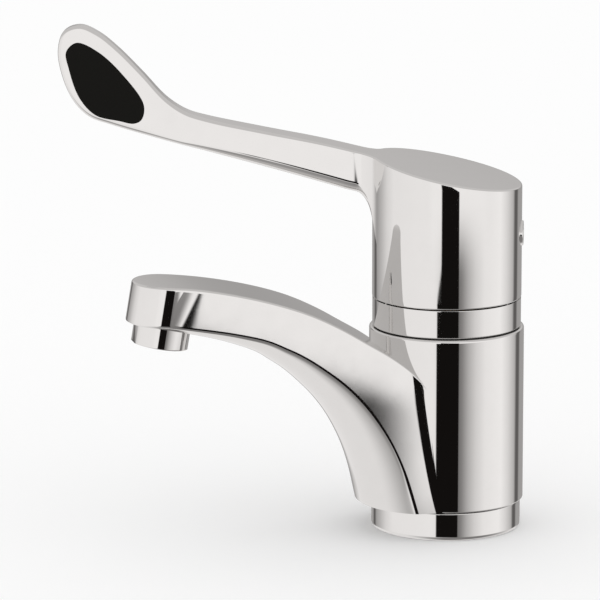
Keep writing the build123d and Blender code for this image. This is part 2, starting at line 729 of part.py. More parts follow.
def make_turret():
    """Turning head of the cartridge, slotted for the stem and cross-drilled for its pin."""
    turret = cylinder(TURRET_RADIUS, CHAMBER_TOP, SHROUD_TOP)
    turret += cylinder(TURRET_NECK, SHROUD_TOP, TURRET_TOP)
    half = STEM_WIDTH / 2 + SLIDE_FIT
    turret -= box(-half, half, -FAR, FAR, CHAMBER_TOP + TURRET_FLOOR, FAR)
    swing = CARRIER_TRAVEL + STEM_ROD_RADIUS + SLIDE_FIT
    turret -= box(-BALL_RADIUS, BALL_RADIUS, -swing, BALL_RADIUS + SLIDE_FIT, 0, FAR)
    return turret - rod((-FAR, 0, PIVOT_Z), (FAR, 0, PIVOT_Z), PIVOT_PIN_RADIUS)


def make_pivot_pin():
    """Steel pin that the lever's stem rocks on."""
    return rod((-TURRET_NECK, 0, PIVOT_Z), (TURRET_NECK, 0, PIVOT_Z), PIVOT_PIN_RADIUS)


def make_stem():
    """Square stem with a ball at its foot, rocking on the pivot pin."""
    half = STEM_WIDTH / 2
    shoulder = PIVOT_Z - STEM_SHOULDER_DROP
    stem = box(-half, half, -half, half, shoulder, STEM_TOP)
    stem = chamfer(stem.edges().group_by(Axis.Z)[-1], SMALL_EDGE)
    stem += cylinder(STEM_ROD_RADIUS, BALL_Z, shoulder)
    stem += Pos(0, 0, BALL_Z) * Sphere(BALL_RADIUS)
    return stem - rod((-FAR, 0, PIVOT_Z), (FAR, 0, PIVOT_Z), PIVOT_PIN_RADIUS + RUNNING_FIT)


def lever_face():
    """Hood, arm and paddle seen from the side, above the foot of the arm."""
    shares = PADDLE_TOP_SHARES + PADDLE_END_SHARES + ARM_BOTTOM_SHARES + ARM_ROOT_SHARES
    run = hood_top_run() + lever_run(shares)
    with BuildSketch(Plane.YZ) as face:
        with BuildLine():
            outline = Spline(*[(-out, up) for out, up in run])
            Polyline(outline @ 1, (-run[0][0], run[-1][1]), outline @ 0)
        make_face()
    return face.sketch


def lever_casting():
    """Solid hood with its arm and paddle, its foot's edge eased."""
    upright = cylinder(HOOD_RADIUS, HOOD_BOTTOM, FAR) + plan_block(lever_widths(), FAR)
    corners = [edge for edge in upright.edges().filter_by(GeomType.LINE) if edge.length > LEVER_REACH
               and abs(math.hypot((edge @ 0.5).X, (edge @ 0.5).Y) - HOOD_RADIUS) < RUNNING_FIT]
    upright = fillet(corners, ARM_BLEND)
    skirt = cylinder(HOOD_RADIUS, HOOD_BOTTOM, lever_run(ARM_ROOT_SHARES)[0][1])
    casting = upright & (across(lever_face(), 2 * HOOD_RADIUS) + skirt)
    return fillet(casting.edges().group_by(Axis.Z)[0], HOOD_RIM_EDGE)


def make_lever_handle():
    """Hood, arm and paddle in one hollow casting with a boss for the stem."""
    handle = lever_casting()
    lip_top = HOOD_BOTTOM + HOOD_LIP_HEIGHT
    ceiling = [(out, up - HOOD_CEILING) for out, up in hood_top_run()]
    hollow = cylinder(HOOD_RADIUS - HOOD_WALL, lip_top, FAR) & under_run(ceiling, 0)
    hollow -= cylinder(BOSS_RADIUS, BOSS_BOTTOM, FAR)
    hollow += cylinder(HOOD_RADIUS - HOOD_LIP_WALL, -OVERRUN, lip_top)
    handle -= hollow
    handle -= box(-BUSH_HALF, BUSH_HALF, -BUSH_HALF, BUSH_HALF, 0, STEM_TOP)
    handle -= rod((0, 0, GRUB_SCREW_Z), (0, BOSS_RADIUS + OVERRUN, GRUB_SCREW_Z), GRUB_SCREW_RADIUS)
    handle -= rod((0, BOSS_RADIUS + EASY_FIT, GRUB_SCREW_Z), (0, FAR, GRUB_SCREW_Z), COVER_RADIUS)
    return handle - grip_block(LEVER_REACH)


def make_stem_bush():
    """Plastic sleeve between the stem and the hood's boss."""
    bush = box(-BUSH_HALF, BUSH_HALF, -BUSH_HALF, BUSH_HALF, BOSS_BOTTOM, STEM_TOP)
    half = STEM_WIDTH / 2
    bush -= box(-half, half, -half, half, 0, FAR)
    return bush - rod((0, 0, GRUB_SCREW_Z), (0, FAR, GRUB_SCREW_Z), GRUB_SCREW_RADIUS)


def make_grub_screw():
    """Socket screw that clamps the hood to the stem from behind."""
    start = STEM_WIDTH / 2
    end = start + GRUB_SCREW_LENGTH
    screw = rod((0, start, GRUB_SCREW_Z), (0, end, GRUB_SCREW_Z), GRUB_SCREW_RADIUS)
    return screw - rod((0, end - GRUB_SOCKET_DEPTH, GRUB_SCREW_Z), (0, FAR, GRUB_SCREW_Z), GRUB_SOCKET_RADIUS)


def make_screw_cover():
    """Small plug over the screw's hole at the back of the hood."""
    end = HOOD_RADIUS + COVER_PROUD
    plug = rod((0, end - COVER_LENGTH, GRUB_SCREW_Z), (0, end, GRUB_SCREW_Z), COVER_RADIUS)
    return fillet(plug.edges().group_by(Axis.Y)[-1], COVER_EDGE)


def grip_block(half):
    """Grip pad's outline right through the paddle."""
    with BuildSketch(Plane.YZ) as pad:
        with BuildLine():
            Spline(*[(-out, up) for out, up in lever_run(PAD_SHARES)], periodic=True)
        make_face()
    return across(pad.sketch, half)


def make_grip_pad():
    """Dark pad let into the paddle, standing a little proud on both faces."""
    pad = grip_block(PADDLE_HALF_WIDTH + PAD_PROUD)
    return fillet(pad.edges(), PAD_EDGE)


NODES = {
    "base_ring": make_base_ring,
    "base_seal": make_base_seal,
    "valve_body": make_valve_body,
    "lower_bearing_ring": lambda: make_bearing_ring(LOWER_BEARING_Z),
    "upper_bearing_ring": lambda: make_bearing_ring(UPPER_BEARING_Z),
    "spout_seals": make_spout_seals,
    "lower_slip_washer": lambda: make_slip_washer(FOOT_HEIGHT, SLIP_GAP),
    "upper_slip_washer": lambda: make_slip_washer(SLEEVE_TOP, SLIP_GAP),
    "swivel_stop_pin": stop_pin,
    "spout": make_spout,
    "aerator_housing": make_aerator_housing,
    "aerator_screen": make_aerator_screen,
    "aerator_insert": make_aerator_insert,
    "aerator_seal": make_aerator_seal,
    "collar_ring": make_collar_ring,
    "cartridge_base": make_cartridge_base,
    "port_seals": make_port_seals,
    "cartridge_housing": make_cartridge_housing,
    "cartridge_nut": make_cartridge_nut,
    "fixed_disc": make_fixed_disc,
    "moving_disc": make_moving_disc,
    "disc_carrier": make_disc_carrier,
    "turret": make_turret,
    "pivot_pin": make_pivot_pin,
    "stem": make_stem,
    "lever_handle": make_lever_handle,
    "stem_bush": make_stem_bush,
    "grub_screw": make_grub_screw,
    "screw_cover": make_screw_cover,
    "grip_pad": make_grip_pad,
}

if __name__ == "__main__":
    os.makedirs("parts", exist_ok=True)
    for name, make in NODES.items():
        made = make()
        pieces = made if isinstance(made, list) else made.solids()
        made = pieces[0] if len(pieces) == 1 else Compound(children=list(pieces))
        export_step(made, f"parts/{name}.step")
        print(name, len(made.solids()), round(made.volume, 1), made.is_valid)
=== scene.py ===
"""Polished elbow lever tap: a basin mixer with a swivel spout and a long lever with a grip pad."""

import json
import math
from functools import partial

import bmesh
import bpy
from mathutils import Matrix, Vector


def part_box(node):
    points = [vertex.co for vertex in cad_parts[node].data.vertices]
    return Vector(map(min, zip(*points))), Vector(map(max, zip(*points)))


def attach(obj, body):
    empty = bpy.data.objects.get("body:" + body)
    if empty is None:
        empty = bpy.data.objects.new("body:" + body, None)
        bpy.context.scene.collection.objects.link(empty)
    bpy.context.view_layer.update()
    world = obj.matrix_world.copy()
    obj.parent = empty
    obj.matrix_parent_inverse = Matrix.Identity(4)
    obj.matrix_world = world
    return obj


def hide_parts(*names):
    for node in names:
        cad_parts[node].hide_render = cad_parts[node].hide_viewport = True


bl_info = {
    "name": "Elbow Lever Tap",
    "version": (1, 0, 0),
    "blender": (4, 5, 0),
    "location": "View3D > Sidebar > Tap",
    "description": "Builds a polished elbow lever tap round its packed model",
    "category": "Add Mesh",
}

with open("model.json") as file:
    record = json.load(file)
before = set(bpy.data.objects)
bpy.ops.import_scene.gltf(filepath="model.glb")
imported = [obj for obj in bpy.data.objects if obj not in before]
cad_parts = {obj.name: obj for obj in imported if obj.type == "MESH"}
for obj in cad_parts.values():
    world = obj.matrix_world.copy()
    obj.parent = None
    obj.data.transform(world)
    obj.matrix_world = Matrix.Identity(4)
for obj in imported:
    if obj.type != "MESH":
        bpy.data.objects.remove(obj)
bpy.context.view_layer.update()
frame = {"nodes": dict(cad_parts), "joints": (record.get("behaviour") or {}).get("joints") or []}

MM = 0.001
# Points closer than this are one, and edges sharper than this stay sharp
MERGE = 0.002 * MM
SHARP_ANGLE = math.radians(40)
# Roundings of corners that are hardly seen, and the least that any corner has
FINE_EDGE = 0.1 * MM
BORE_EDGE = 0.2 * MM
SOFT_EDGE = 0.3 * MM
LEAST_EDGE = 0.05 * MM
# Spacing of the points that hold a rounding's shape beside it
SUPPORT = 0.2 * MM
EDGE_STEPS = 6
RING_STEPS = 160
# Share of a straight run that its first and last points stay clear of its ends
END_SHARE = 0.04


def half_width_of(node):
    """Half of a node's size along X, in metres."""
    low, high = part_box(node)
    return (high[0] - low[0]) / 2


def bottom_of(node):
    """Height of a node's underside, in metres."""
    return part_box(node)[0][2]


def top_of(node):
    """Height of a node's top, in metres."""
    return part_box(node)[1][2]


def joint_named(name):
    """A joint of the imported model."""
    return next(joint for joint in frame["joints"] if joint["name"] == name)


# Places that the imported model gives
FOOT_RADIUS = half_width_of("base_ring")
FOOT_HEIGHT = top_of("base_ring")
SLEEVE_BOTTOM = bottom_of("spout")
SLEEVE_TOP = bottom_of("upper_slip_washer")
COLLAR_RADIUS = half_width_of("collar_ring")
COLLAR_BOTTOM = bottom_of("collar_ring")
HOOD_RADIUS = half_width_of("lever_handle")
HOOD_BOTTOM = bottom_of("lever_handle")
LEVER_REACH = -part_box("lever_handle")[0][1]
LEVER_RISE = top_of("lever_handle") - HOOD_BOTTOM
SPOUT_RISE = top_of("spout") - SLEEVE_BOTTOM
PIVOT_Z = joint_named("flow_lift")["pos_m"][2]
SWIVEL_RANGE = joint_named("spout_swivel")["range_deg"]
REST_TURN = Matrix.Rotation(math.radians(-(SWIVEL_RANGE[0] + SWIVEL_RANGE[1]) / 2), 4, "Z")

# Lever seen from the side, as shares of the arm's length out from the hood and of its rise
HOOD_BACK_SHARE = 0.410
HOOD_MIDDLE_SHARE = 0.475
LEVER_TOP_SHARES = (
    (-0.009, 0.533), (0.163, 0.578), (0.353, 0.619), (0.525, 0.659),
    (0.593, 0.683), (0.656, 0.731), (0.732, 0.826), (0.809, 0.916), (0.871, 0.973),
    (0.929, 0.9995), (0.980, 0.977), (0.9995, 0.905), (0.985, 0.803), (0.950, 0.714), (0.902, 0.658),
    (0.828, 0.627), (0.674, 0.578), (0.519, 0.535), (0.315, 0.474), (0.086, 0.403),
    (0.035, 0.386), (0.005, 0.339), (-0.008, 0.272), (-0.025, 0.172),
)
# Lever seen from above: out as above, and its half width from the paddle's, 0, to the arm's, 1
LEVER_WIDTH_SHARES = (
    (-0.123, 1.0), (0.124, 0.875), (0.334, 0.75), (0.486, 0.625), (0.601, 0.313), (0.725, 0.0), (1.1, 0.0),
)
# Grip pad seen from the side, as the lever is
PAD_SHARES = (
    (0.972, 0.901), (0.939, 0.936), (0.872, 0.904), (0.792, 0.818), (0.725, 0.706), (0.732, 0.651),
    (0.756, 0.635), (0.805, 0.644), (0.880, 0.665), (0.931, 0.729), (0.964, 0.838),
)
# Spout seen from the side, as shares of its length out from the sleeve and of its rise
SPOUT_TOP_SHARES = (
    (-0.349, 0.246), (-0.262, 0.426), (-0.200, 0.525), (-0.123, 0.603), (-0.027, 0.671), (0.091, 0.737),
    (0.209, 0.801), (0.351, 0.864), (0.517, 0.916), (0.708, 0.959), (0.899, 0.988), (1.094, 1.0),
    (1.290, 0.998),
)
# Underside: out, up, belly depth as a share of the half width there, and lean in degrees
SPOUT_BELLY_SHARES = (
    (1.234, 0.845, 0.112, 10.0), (1.001, 0.802, 0.160, 10.5), (0.828, 0.765, 0.220, 11.0),
    (0.651, 0.714, 0.307, 13.0), (0.486, 0.633, 0.392, 21.0), (0.329, 0.511, 0.464, 36.0),
    (0.228, 0.399, 0.507, 50.0), (0.156, 0.280, 0.542, 62.0), (0.108, 0.161, 0.572, 74.0),
    (0.066, 0.0, 0.601, 90.0),
)


def linear(hex_colour):
    """sRGB hex text to linear red, green, blue, alpha."""
    values = [int(hex_colour[place:place + 2], 16) / 255 for place in (1, 3, 5)]
    return tuple(v / 12.92 if v <= 0.04045 else ((v + 0.055) / 1.055) ** 2.4 for v in values) + (1.0,)


# Curves and meshes

def smooth_curve(points, steps):
    """Points along a Catmull-Rom curve through some points, with their chords as its knots."""
    knots = [0.0]
    for first, second in zip(points, points[1:]):
        knots.append(knots[-1] + math.dist(first, second) ** 0.5)
    ends = [tuple(2 * a - b for a, b in zip(points[0], points[1]))]
    ends.append(tuple(2 * a - b for a, b in zip(points[-1], points[-2])))
    run = [ends[0], *points, ends[1]]
    times = [2 * knots[0] - knots[1], *knots, 2 * knots[-1] - knots[-2]]
    made = []
    for place in range(1, len(run) - 2):
        p0, p1, p2, p3 = run[place - 1:place + 3]
        t0, t1, t2, t3 = times[place - 1:place + 3]
        for step in range(steps):
            t = t1 + (t2 - t1) * step / steps
            made.append(tuple(barry_goldman(t, (t0, t1, t2, t3), values) for values in zip(p0, p1, p2, p3)))
    made.append(tuple(points[-1]))
    return made


def barry_goldman(t, times, values):
    """One coordinate of a Catmull-Rom curve at a time between the middle two knots."""
    level = list(values)
    for span in (1, 2):
        level = [mix_at(t, times[i], times[i + span], level[i], level[i + 1]) for i in range(len(level) - 1)]
    return mix_at(t, times[1], times[2], level[0], level[1])


def mix_at(t, start, end, first, second):
    """Straight mix of two values at a time."""
    return first + (second - first) * (t - start) / (end - start)


def lookup(run, place):
    """Second value of a run at a place along its first, for a run that only rises or only falls."""
    for (a, first), (b, second) in zip(run, run[1:]):
        if min(a, b) <= place <= max(a, b) and a != b:
            return first + (second - first) * (place - a) / (b - a)
    return run[0][1] if abs(place - run[0][0]) < abs(place - run[-1][0]) else run[-1][1]


def bend(start, corner, end, steps):
    """Points of a quadratic curve that rounds a corner."""
    made = []
    for step in range(steps + 1):
        t = step / steps
        made.append(start * (1 - t) ** 2 + corner * 2 * t * (1 - t) + end * t ** 2)
    return made


def add_grid(mesh, rows, closed=False):
    """Faces between rows of points, all rows of one length, each open or closed into a loop."""
    made = [[mesh.verts.new(point) for point in row] for row in rows]
    if closed:
        made = [[*row, row[0]] for row in made]
    for first, second in zip(made, made[1:]):
        for place in range(len(first) - 1):
            mesh.faces.new((first[place], first[place + 1], second[place + 1], second[place]))


def mirror_half(mesh):
    """Copy of a half mesh on the other side of X."""
    made = bmesh.ops.duplicate(mesh, geom=mesh.verts[:] + mesh.edges[:] + mesh.faces[:])
    for item in made["geom"]:
        if isinstance(item, bmesh.types.BMVert):
            item.co.x = -item.co.x


def as_object(mesh, name, smooth=True):
    """Object in the scene from a bmesh, which is used up."""
    data = bpy.data.meshes.new(name)
    mesh.to_mesh(data)
    mesh.free()
    if smooth:
        data.shade_smooth()
        data.set_sharp_from_angle(angle=SHARP_ANGLE)
    piece = bpy.data.objects.new(name, data)
    bpy.context.scene.collection.objects.link(piece)
    return piece


def closed_piece(mesh, name):
    """Object from a bmesh, with doubles merged, slivers gone, holes filled and normals outwards."""
    bmesh.ops.remove_doubles(mesh, verts=mesh.verts, dist=MERGE)
    bmesh.ops.dissolve_degenerate(mesh, edges=mesh.edges, dist=MERGE)
    holes = [edge for edge in mesh.edges if edge.is_boundary]
    if holes:
        bmesh.ops.holes_fill(mesh, edges=holes, sides=0)
    bmesh.ops.recalc_face_normals(mesh, faces=mesh.faces)
    return as_object(mesh, name)


def skin(loops, name):
    """Object from closed loops of points, each joined to the next."""
    mesh = bmesh.new()
    add_grid(mesh, loops, closed=True)
    return closed_piece(mesh, name)


def rounded(corners):
    """Closed profile of radius, height points, each corner rounded by its own radius, with support points."""
    made = []
    for place, (radius, height, edge) in enumerate(corners):
        corner = Vector((radius, height))
        ends = []
        for neighbour in (corners[place - 1], corners[(place + 1) % len(corners)]):
            way = Vector(neighbour[:2]) - corner
            end = corner + way.normalized() * max(edge, LEAST_EDGE)
            room = (Vector(neighbour[:2]) - end).length
            ends.append((end, end + way.normalized() * min(SUPPORT, room / 3)))
        (start, support_before), (end, support_after) = ends
        made.extend([support_before, *bend(start, corner, end, EDGE_STEPS), support_after])
    return made


def turned(corners, name, steps=RING_STEPS, place=Matrix()):
    """Solid of revolution round Z from a closed profile, then moved to its place."""
    profile = rounded(corners)
    loops = []
    for step in range(steps + 1):
        angle = 2 * math.pi * step / steps
        loops.append([place @ Vector((p[0] * math.cos(angle), p[0] * math.sin(angle), p[1])) for p in profile])
    return skin(loops, name)


def joined(pieces, name):
    """One object from several, as plain meshes side by side."""
    mesh = bmesh.new()
    for piece in pieces:
        mesh.from_mesh(piece.data)
        bpy.data.objects.remove(piece)
    return as_object(mesh, name)


def finished(piece, finish, body, slot, *nodes):
    """Give a piece its finish and its body, and hide the nodes that it stands for; its slot is not used."""
    piece.data.materials.clear()
    piece.data.materials.append(material_of(finish))
    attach(piece, body)
    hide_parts(*nodes)


# Materials

# Each finish: two sRGB colours, grain in mm, roughness and its spread, bump in mm, and other inputs
FINISHES = {
    # Chrome plate over polished brass: a bright, faintly warm mirror with slight polishing haze
    "polished_chrome_plate": ("#e9e8e7", "#e5e4e3", 6.0, 0.035, 0.012, 0.0006, {"Metallic": 1.0}),
    # Turned brass: yellow metal with fine tool marks, satin
    "turned_brass": ("#c9a35a", "#b8914a", 0.5, 0.32, 0.08, 0.004, {"Metallic": 1.0}),
    # Ground stainless steel: grey metal, satin
    "ground_steel": ("#b6b6b4", "#a3a3a2", 0.4, 0.28, 0.06, 0.003, {"Metallic": 1.0}),
    # Black acetal of washers and bushes: dull black plastic
    "moulded_black_acetal": ("#161513", "#1d1c1a", 0.6, 0.55, 0.08, 0.004, {}),
    # Natural acetal of bearing rings: milky plastic with a soft sheen
    "moulded_white_acetal": ("#dddbd2", "#d3d1c8", 0.8, 0.42, 0.06, 0.003, {}),
    # Glass-filled nylon of the cartridge: light grey with fine flecks
    "cartridge_nylon": ("#c3c7ca", "#b2b6ba", 0.35, 0.48, 0.08, 0.005, {}),
    # Lapped alumina discs: ivory ceramic, very smooth
    "lapped_alumina": ("#ece9df", "#e4e0d5", 1.2, 0.16, 0.04, 0.0005, {}),
    # Nitrile rubber seals: black, slightly soft
    "nitrile_rubber": ("#151515", "#1b1b1b", 0.5, 0.7, 0.08, 0.006, {}),
    # Moulded elastomer of the grip pad: near-black, fine spark-eroded grain, no shine
    "matt_elastomer_grip": ("#100f0c", "#13120e", 0.25, 0.7, 0.08, 0.012, {"Specular IOR Level": 0.12}),
}
# Nodes of each finish
FINISH_NODES = {
    "polished_chrome_plate": ("base_ring", "spout", "collar_ring", "aerator_housing", "lever_handle",
                              "screw_cover"),
    "turned_brass": ("valve_body", "cartridge_nut"),
    "ground_steel": ("swivel_stop_pin", "pivot_pin", "stem", "grub_screw", "aerator_screen"),
    "moulded_black_acetal": ("lower_slip_washer", "upper_slip_washer", "disc_carrier", "stem_bush"),
    "moulded_white_acetal": ("lower_bearing_ring", "upper_bearing_ring", "aerator_insert"),
    "cartridge_nylon": ("cartridge_base", "cartridge_housing", "turret"),
    "lapped_alumina": ("fixed_disc", "moving_disc"),
    "nitrile_rubber": ("base_seal", "spout_seals", "aerator_seal", "port_seals"),
    "matt_elastomer_grip": ("grip_pad",),
}


def new_material(name):
    """Node material with nothing in its tree."""
    material = bpy.data.materials.new(name)
    material.use_nodes = True
    material.node_tree.nodes.clear()
    return material


def add_node(tree, kind, inputs=(), **settings):
    """Outputs of a new node with its settings. Each input is a value or another node's output."""
    node = tree.nodes.new(kind)
    for key, value in settings.items():
        setattr(node, key, value)
    for key, value in dict(inputs).items():
        if isinstance(value, bpy.types.NodeSocket):
            tree.links.new(value, node.inputs[key])
        else:
            node.inputs[key].default_value = value
    return node.outputs


def material_of(finish):
    """Material of a finish: a fine mottle of two colours, an uneven roughness and a fine bump."""
    if finish in bpy.data.materials:
        return bpy.data.materials[finish]
    colour, second_colour, grain_mm, rough, spread, bump_mm, others = FINISHES[finish]
    chosen = tuple(getattr(bpy.context.scene.tap_finishes, finish, linear(colour)))
    material = new_material(finish)
    put = partial(add_node, material.node_tree)
    place = put("ShaderNodeTexCoord")["Object"]
    grain = put("ShaderNodeTexNoise", {"Vector": place, "Scale": 1 / (grain_mm * MM), "Detail": 4.0})["Fac"]
    tone = put("ShaderNodeMix", {"Factor": grain, "A": chosen, "B": linear(second_colour)},
               data_type="RGBA")["Result"]
    gloss = put("ShaderNodeMapRange",
                {"Value": grain, "To Min": rough - spread, "To Max": rough + spread})["Result"]
    bump = put("ShaderNodeBump", {"Height": grain, "Strength": 1.0, "Distance": bump_mm * MM})["Normal"]
    surface = put("ShaderNodeBsdfPrincipled",
                  {"Base Color": tone, "Roughness": gloss, "Normal": bump, **others})["BSDF"]
    put("ShaderNodeOutputMaterial", {"Surface": surface})
    return material


# Sizes and colours that a user would change

def length_property(name, description, millimetres):
    """Property that holds a length."""
    return bpy.props.FloatProperty(name=name, description=description, default=millimetres * MM, unit="LENGTH")


def angle_property(name, description, degrees):
    """Property that holds an angle."""
    return bpy.props.FloatProperty(name=name, description=description, default=math.radians(degrees),
                                   subtype="ANGLE")


def number_property(name, description, default):
    """Property that holds a plain number."""
    return bpy.props.FloatProperty(name=name, description=description, default=default)


def colour_property(name, description, finish):
    """Property that holds the first colour of a finish."""
    return bpy.props.FloatVectorProperty(name=name, description=description, subtype="COLOR", size=4,
                                         default=linear(FINISHES[finish][0]), min=0.0, max=1.0)


class TapFinishes(bpy.types.PropertyGroup):
    """Colours of the outside, each under its finish's name."""
    polished_chrome_plate: colour_property("Plate", "Colour of the chrome plate", "polished_chrome_plate")
    matt_elastomer_grip: colour_property("Grip pad", "Colour of the grip pad", "matt_elastomer_grip")


class TapRings(bpy.types.PropertyGroup):
    """Foot ring, sleeve and collar."""
    foot_edge: length_property("Foot edge", "Rounding under the foot ring", 1.3)
    foot_bore: length_property("Foot bore", "Radius inside the foot ring", 17.4)
    ring_edge: length_property("Ring edge", "Rounding of the rings' sharper edges", 0.35)
    sleeve_radius: length_property("Sleeve radius", "Outside radius of the spout's sleeve", 25.9)
    sleeve_wall: length_property("Sleeve wall", "Wall of the spout's sleeve", 2.7)
    root_blend: length_property("Root blend", "Radius between the sleeve and the spout's sides", 10.0)
    sleeve_edge: length_property("Sleeve edge", "Rounding at the top of the sleeve", 0.8)
    collar_wall: length_property("Collar wall", "Wall of the collar ring", 1.5)


class TapSpout(bpy.types.PropertyGroup):
    """Spout's arm and aerator."""
    reach: length_property("Reach", "From the tap's axis to the aerator's", 97.3)
    half_width: length_property("Half width", "Half the spout's width at its nose", 12.5)
    root_half_width: length_property("Root half width", "Half width of the flat sides at the tap's axis", 25.2)
    side_taper: angle_property("Side taper", "How far each side closes in toward the nose", 5.57)
    side_draft: angle_property("Side draft", "How far each side leans in at the foot", 3.4)
    draft_loss: angle_property("Draft loss", "How much less the sides lean in at the nose", 0.6)
    nose_ease: length_property("Nose ease", "How softly the sides run into the nose", 0.4)
    top_edge: length_property("Top edge", "Rounding along the spout's top edges", 0.7)
    belly_edge: length_property("Belly edge", "Rounding where the side meets the belly", 0.5)
    belly_power: number_property("Belly power", "How square the belly's section is", 3.2)
    root_power: number_property("Root power", "How square the belly's section is at the root", 2.1)
    belly_overwidth: number_property("Belly overwidth", "Width of the belly's full curve to the spout's", 1.12)
    tilt: angle_property("Aerator tilt", "How far the aerator leans out", 9.5)
    seat_share: number_property("Seat height", "Height of the aerator's seat as a share of the rise", 0.811)
    aerator_radius: length_property("Aerator radius", "Outside radius of the aerator's ring", 9.5)
    aerator_drop: length_property("Aerator drop", "How far the aerator stands out", 6.9)
    aerator_bore: length_property("Aerator bore", "Radius of the aerator's mouth", 6.0)
    aerator_flat: length_property("Aerator flat", "From the axis to each spanner flat", 8.9)
    flat_height: length_property("Flat height", "Height of the spanner flats", 4.6)
    mesh_pitch: length_property("Mesh pitch", "Spacing of the screen's cells", 1.05)


class TapLever(bpy.types.PropertyGroup):
    """Hood, arm, paddle and grip pad."""
    arm_half_width: length_property("Arm half width", "Half the arm's width at the hood", 6.1)
    paddle_half_width: length_property("Paddle half width", "Half the paddle's thickness", 2.9)
    blend: length_property("Blend", "Radius between the hood and the arm", 7.0)
    hood_edge: length_property("Hood edge", "Rounding round the hood's top", 0.6)
    paddle_edge: length_property("Paddle edge", "Rounding round the paddle", 1.3)
    under_edge: length_property("Under edge", "Rounding along the arm's underside", 3.4)
    rim_edge: length_property("Rim edge", "Rounding at the hood's foot", 0.5)
    hood_wall: length_property("Hood wall", "Wall of the hood", 2.6)
    lip_wall: length_property("Lip wall", "Wall of the hood's lip", 1.55)
    lip_height: length_property("Lip height", "Height of the hood's lip", 5.0)
    ceiling: length_property("Ceiling", "Thickness of the hood's top", 3.2)
    boss_radius: length_property("Boss radius", "Boss round the stem's bush", 10.0)
    pad_proud: length_property("Pad proud", "How far the pad stands out", 0.25)
    pad_edge: length_property("Pad edge", "Rounding round the pad", 0.35)


# Side views in metres

BEHIND_HOOD = 5.0 * MM
SIDE_VIEW_STEPS = 24


def side_run(shares, root, reach, floor, rise):
    """Outline from its shares: out past a root, and up from a floor."""
    return [(root + out * (reach - root), floor + up * rise) for out, up in shares]


def lever_side():
    """Hood's slope, arm, paddle and root seen from the side, as one dense curve."""
    back = (-HOOD_RADIUS - BEHIND_HOOD, HOOD_BOTTOM + HOOD_BACK_SHARE * LEVER_RISE)
    middle = (0.0, HOOD_BOTTOM + HOOD_MIDDLE_SHARE * LEVER_RISE)
    rest = side_run(LEVER_TOP_SHARES, HOOD_RADIUS, LEVER_REACH, HOOD_BOTTOM, LEVER_RISE)
    return smooth_curve([back, middle, *rest], SIDE_VIEW_STEPS)


# Rings

COLLAR_TOP_EDGE = 0.15 * MM


class TAP_OT_foot_ring(bpy.types.Operator):
    """Foot ring on the basin"""
    bl_idname = "tap.foot_ring"
    bl_label = "Foot ring"

    def execute(self, context):
        sizes = context.scene.tap_rings
        corners = [
            (sizes.foot_bore, 0.0, SOFT_EDGE), (FOOT_RADIUS, 0.0, sizes.foot_edge),
            (FOOT_RADIUS, FOOT_HEIGHT, sizes.ring_edge), (sizes.foot_bore, FOOT_HEIGHT, sizes.ring_edge),
        ]
        finished(turned(corners, "foot_ring"), "polished_chrome_plate", "base", "chrome", "base_ring")
        return {"FINISHED"}


class TAP_OT_collar(bpy.types.Operator):
    """Collar between the sleeve and the hood"""
    bl_idname = "tap.collar"
    bl_label = "Collar ring"

    def execute(self, context):
        sizes = context.scene.tap_rings
        top = top_of("collar_ring")
        inner = COLLAR_RADIUS - sizes.collar_wall
        # The top is dished, for the hood's foot swings round the pivot just above it
        swing = math.hypot(COLLAR_RADIUS, PIVOT_Z - top)
        dish = PIVOT_Z - math.sqrt(swing ** 2 - inner ** 2)
        floor = COLLAR_BOTTOM + sizes.collar_wall
        bore = sizes.foot_bore + sizes.collar_wall
        corners = [
            (COLLAR_RADIUS, COLLAR_BOTTOM, sizes.ring_edge), (COLLAR_RADIUS, top, COLLAR_TOP_EDGE),
            (inner, dish, COLLAR_TOP_EDGE), (inner, floor, SOFT_EDGE),
            (bore, floor, FINE_EDGE), (bore, COLLAR_BOTTOM, FINE_EDGE),
        ]
        finished(turned(corners, "collar"), "polished_chrome_plate", "base", "chrome", "collar_ring")
        return {"FINISHED"}


# Spout

# Points round half a section of the arm
BELLY_STEPS = 18
CREASE_STEPS = 6
SIDE_STEPS = 60
TOP_EDGE_STEPS = 10
TOP_STEPS = 6
# Of those on the side: on its flat and in its blend, the rest being hidden in the sleeve
FLAT_STEPS = 34
BLEND_STEPS = 16
# Sections round the nose, and steps of the curves between the shares' points
NOSE_STEPS = 28
TOP_CURVE_STEPS = 12
BELLY_CURVE_STEPS = 8
# Rounds that a place which hangs on itself takes to settle, and halvings that find the blend's ends
CREASE_ROUNDS = 6
NOSE_ROUNDS = 4
HALVINGS = 24
SLEEVE_STEPS = 192
# How far the arm's hidden root stays inside the sleeve
ROOT_DEPTH = 0.01 * MM


def aerator_place(sizes):
    """Place of the aerator's axis on the spout where it rests."""
    seat = Matrix.Translation((0, -sizes.reach, SLEEVE_BOTTOM + sizes.seat_share * SPOUT_RISE))
    return REST_TURN @ seat @ Matrix.Rotation(-sizes.tilt, 4, "X")


def belly_rise(share, power):
    """How far the belly has risen at a share of its half width."""
    return 1 - (1 - min(1.0, abs(share)) ** power) ** (1 / power)


